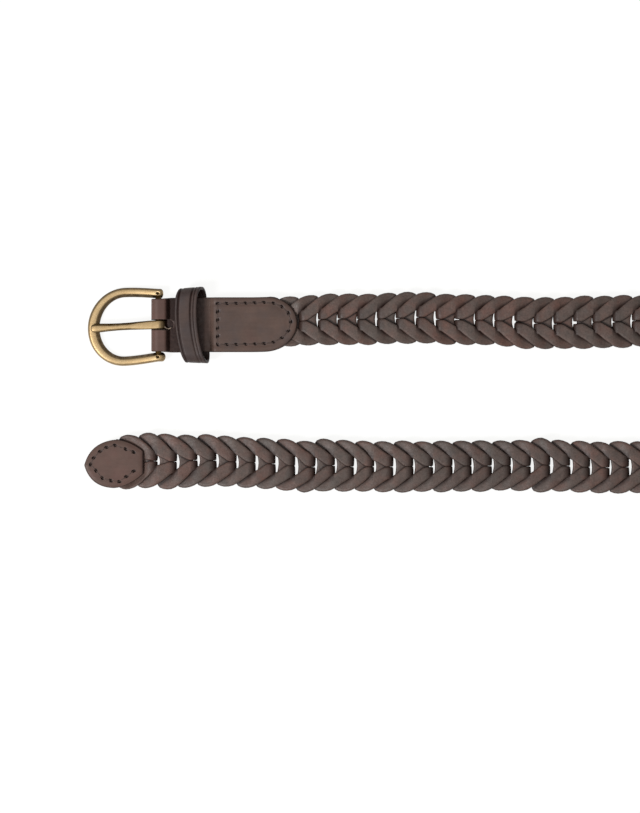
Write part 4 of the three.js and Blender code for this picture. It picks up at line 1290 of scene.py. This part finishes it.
def set_stage():
    """The white floor, soft light from above and the camera, which looks straight down at the
    photograph's middle."""
    scene = bpy.context.scene
    mesh = bpy.data.meshes.new("paper_floor")
    low, high, level = -FLOOR_HALF, FLOOR_HALF, FLOOR_LEVEL
    corners = [(low, low, level), (high, low, level), (high, high, level), (low, high, level)]
    mesh.from_pydata(corners, [], [(0, 1, 2, 3)])
    floor = bpy.data.objects.new("paper_floor", mesh)
    scene.collection.objects.link(floor)
    mesh.materials.append(finish_of("paper floor", pale_floor))
    world = bpy.data.worlds.new("white room")
    scene.world = world
    world.use_nodes = True
    sky = next(node for node in world.node_tree.nodes if node.type == "BACKGROUND")
    sky.inputs["Color"].default_value = (1.0, 0.99, 0.98, 1.0)
    sky.inputs["Strength"].default_value = 0.42
    for name, spot, size, power in (
        ("key soft box", (-0.95, -0.45, 1.15), 0.4, 20.5),
        ("top soft box", (-0.15, -0.1, 1.3), 0.7, 3.2),
    ):
        light = bpy.data.lights.new(name, "AREA")
        light.size, light.energy = size, power
        lamp = bpy.data.objects.new(name, light)
        scene.collection.objects.link(lamp)
        lamp.location = PICTURE_MIDDLE + np.array(spot)
        lamp.rotation_euler = aimed_from(*spot)
    camera = bpy.data.cameras.new("camera")
    camera.sensor_width = 36.0
    camera.lens = camera.sensor_width * CAMERA_DISTANCE / PICTURE_HEIGHT
    camera.clip_end = 20
    eye = bpy.data.objects.new("camera", camera)
    scene.collection.objects.link(eye)
    eye.location = PICTURE_MIDDLE + np.array([0, 0, CAMERA_DISTANCE])
    scene.camera = eye
    scene.view_settings.view_transform = "Standard"


class SetStage(bpy.types.Operator):
    """Sets the floor, lights and camera"""

    bl_idname = "belt.set_stage"
    bl_label = "Set stage"

    def execute(self, context):
        set_stage()
        return {"FINISHED"}


class WeaveBraid(bpy.types.Operator):
    """Weaves the chain of leather links"""

    bl_idname = "belt.weave_braid"
    bl_label = "Weave braid"

    def execute(self, context):
        weave_braid()
        return {"FINISHED"}


class FoldStrap(bpy.types.Operator):
    """Folds the strap round the bar"""

    bl_idname = "belt.fold_strap"
    bl_label = "Fold strap"

    def execute(self, context):
        fold_strap()
        return {"FINISHED"}


class BendKeeper(bpy.types.Operator):
    """Bends the keeper into its loop"""

    bl_idname = "belt.bend_keeper"
    bl_label = "Bend keeper"

    def execute(self, context):
        bend_keeper()
        return {"FINISHED"}


class CutPatches(bpy.types.Operator):
    """Cuts the two leaves of the tip patch"""

    bl_idname = "belt.cut_patches"
    bl_label = "Cut tip patch"

    def execute(self, context):
        cut_patches()
        return {"FINISHED"}


class SewStitches(bpy.types.Operator):
    """Punches and sews the stitches of the tab and the patch"""

    bl_idname = "belt.sew_stitches"
    bl_label = "Sew stitches"

    def execute(self, context):
        sew_stitches()
        return {"FINISHED"}


class CastBuckle(bpy.types.Operator):
    """Casts the horseshoe frame and its bar"""

    bl_idname = "belt.cast_buckle"
    bl_label = "Cast buckle"

    def execute(self, context):
        cast_buckle()
        return {"FINISHED"}


class ForgeProng(bpy.types.Operator):
    """Forges the prong and curls it round the bar"""

    bl_idname = "belt.forge_prong"
    bl_label = "Forge prong"

    def execute(self, context):
        forge_prong()
        return {"FINISHED"}


OPERATORS = (SetStage, WeaveBraid, FoldStrap, BendKeeper, CutPatches, SewStitches, CastBuckle, ForgeProng)
GROUPS = {
    "belt_braid": BraidSizes,
    "belt_strap": StrapSizes,
    "belt_buckle": BuckleSizes,
    "belt_colours": BeltColours,
}


class BeltPanel(bpy.types.Panel):
    """Lists the steps and the sizes of the belt"""

    bl_idname = "VIEW3D_PT_belt"
    bl_label = "Braided belt"
    bl_space_type = "VIEW_3D"
    bl_region_type = "UI"
    bl_category = "Belt"

    def draw(self, context):
        for operator in OPERATORS:
            self.layout.operator(operator.bl_idname)
        for name in GROUPS:
            box = self.layout.box()
            group = getattr(context.scene, name)
            for key in type(group).__annotations__:
                box.prop(group, key)


def register():
    """Registers the property groups, the operators and the panel."""
    for name, group in GROUPS.items():
        bpy.utils.register_class(group)
        setattr(bpy.types.Scene, name, PointerProperty(type=group))
    for cls in (*OPERATORS, BeltPanel):
        bpy.utils.register_class(cls)


def unregister():
    """Takes everything back that register added."""
    for cls in (BeltPanel, *reversed(OPERATORS)):
        bpy.utils.unregister_class(cls)
    for name, group in GROUPS.items():
        delattr(bpy.types.Scene, name)
        bpy.utils.unregister_class(group)


def main():
    """Runs every step in order."""
    register()
    for operator in OPERATORS:
        group, name = operator.bl_idname.split(".")
        getattr(getattr(bpy.ops, group), name)()


if __name__ == "__main__":
    main()
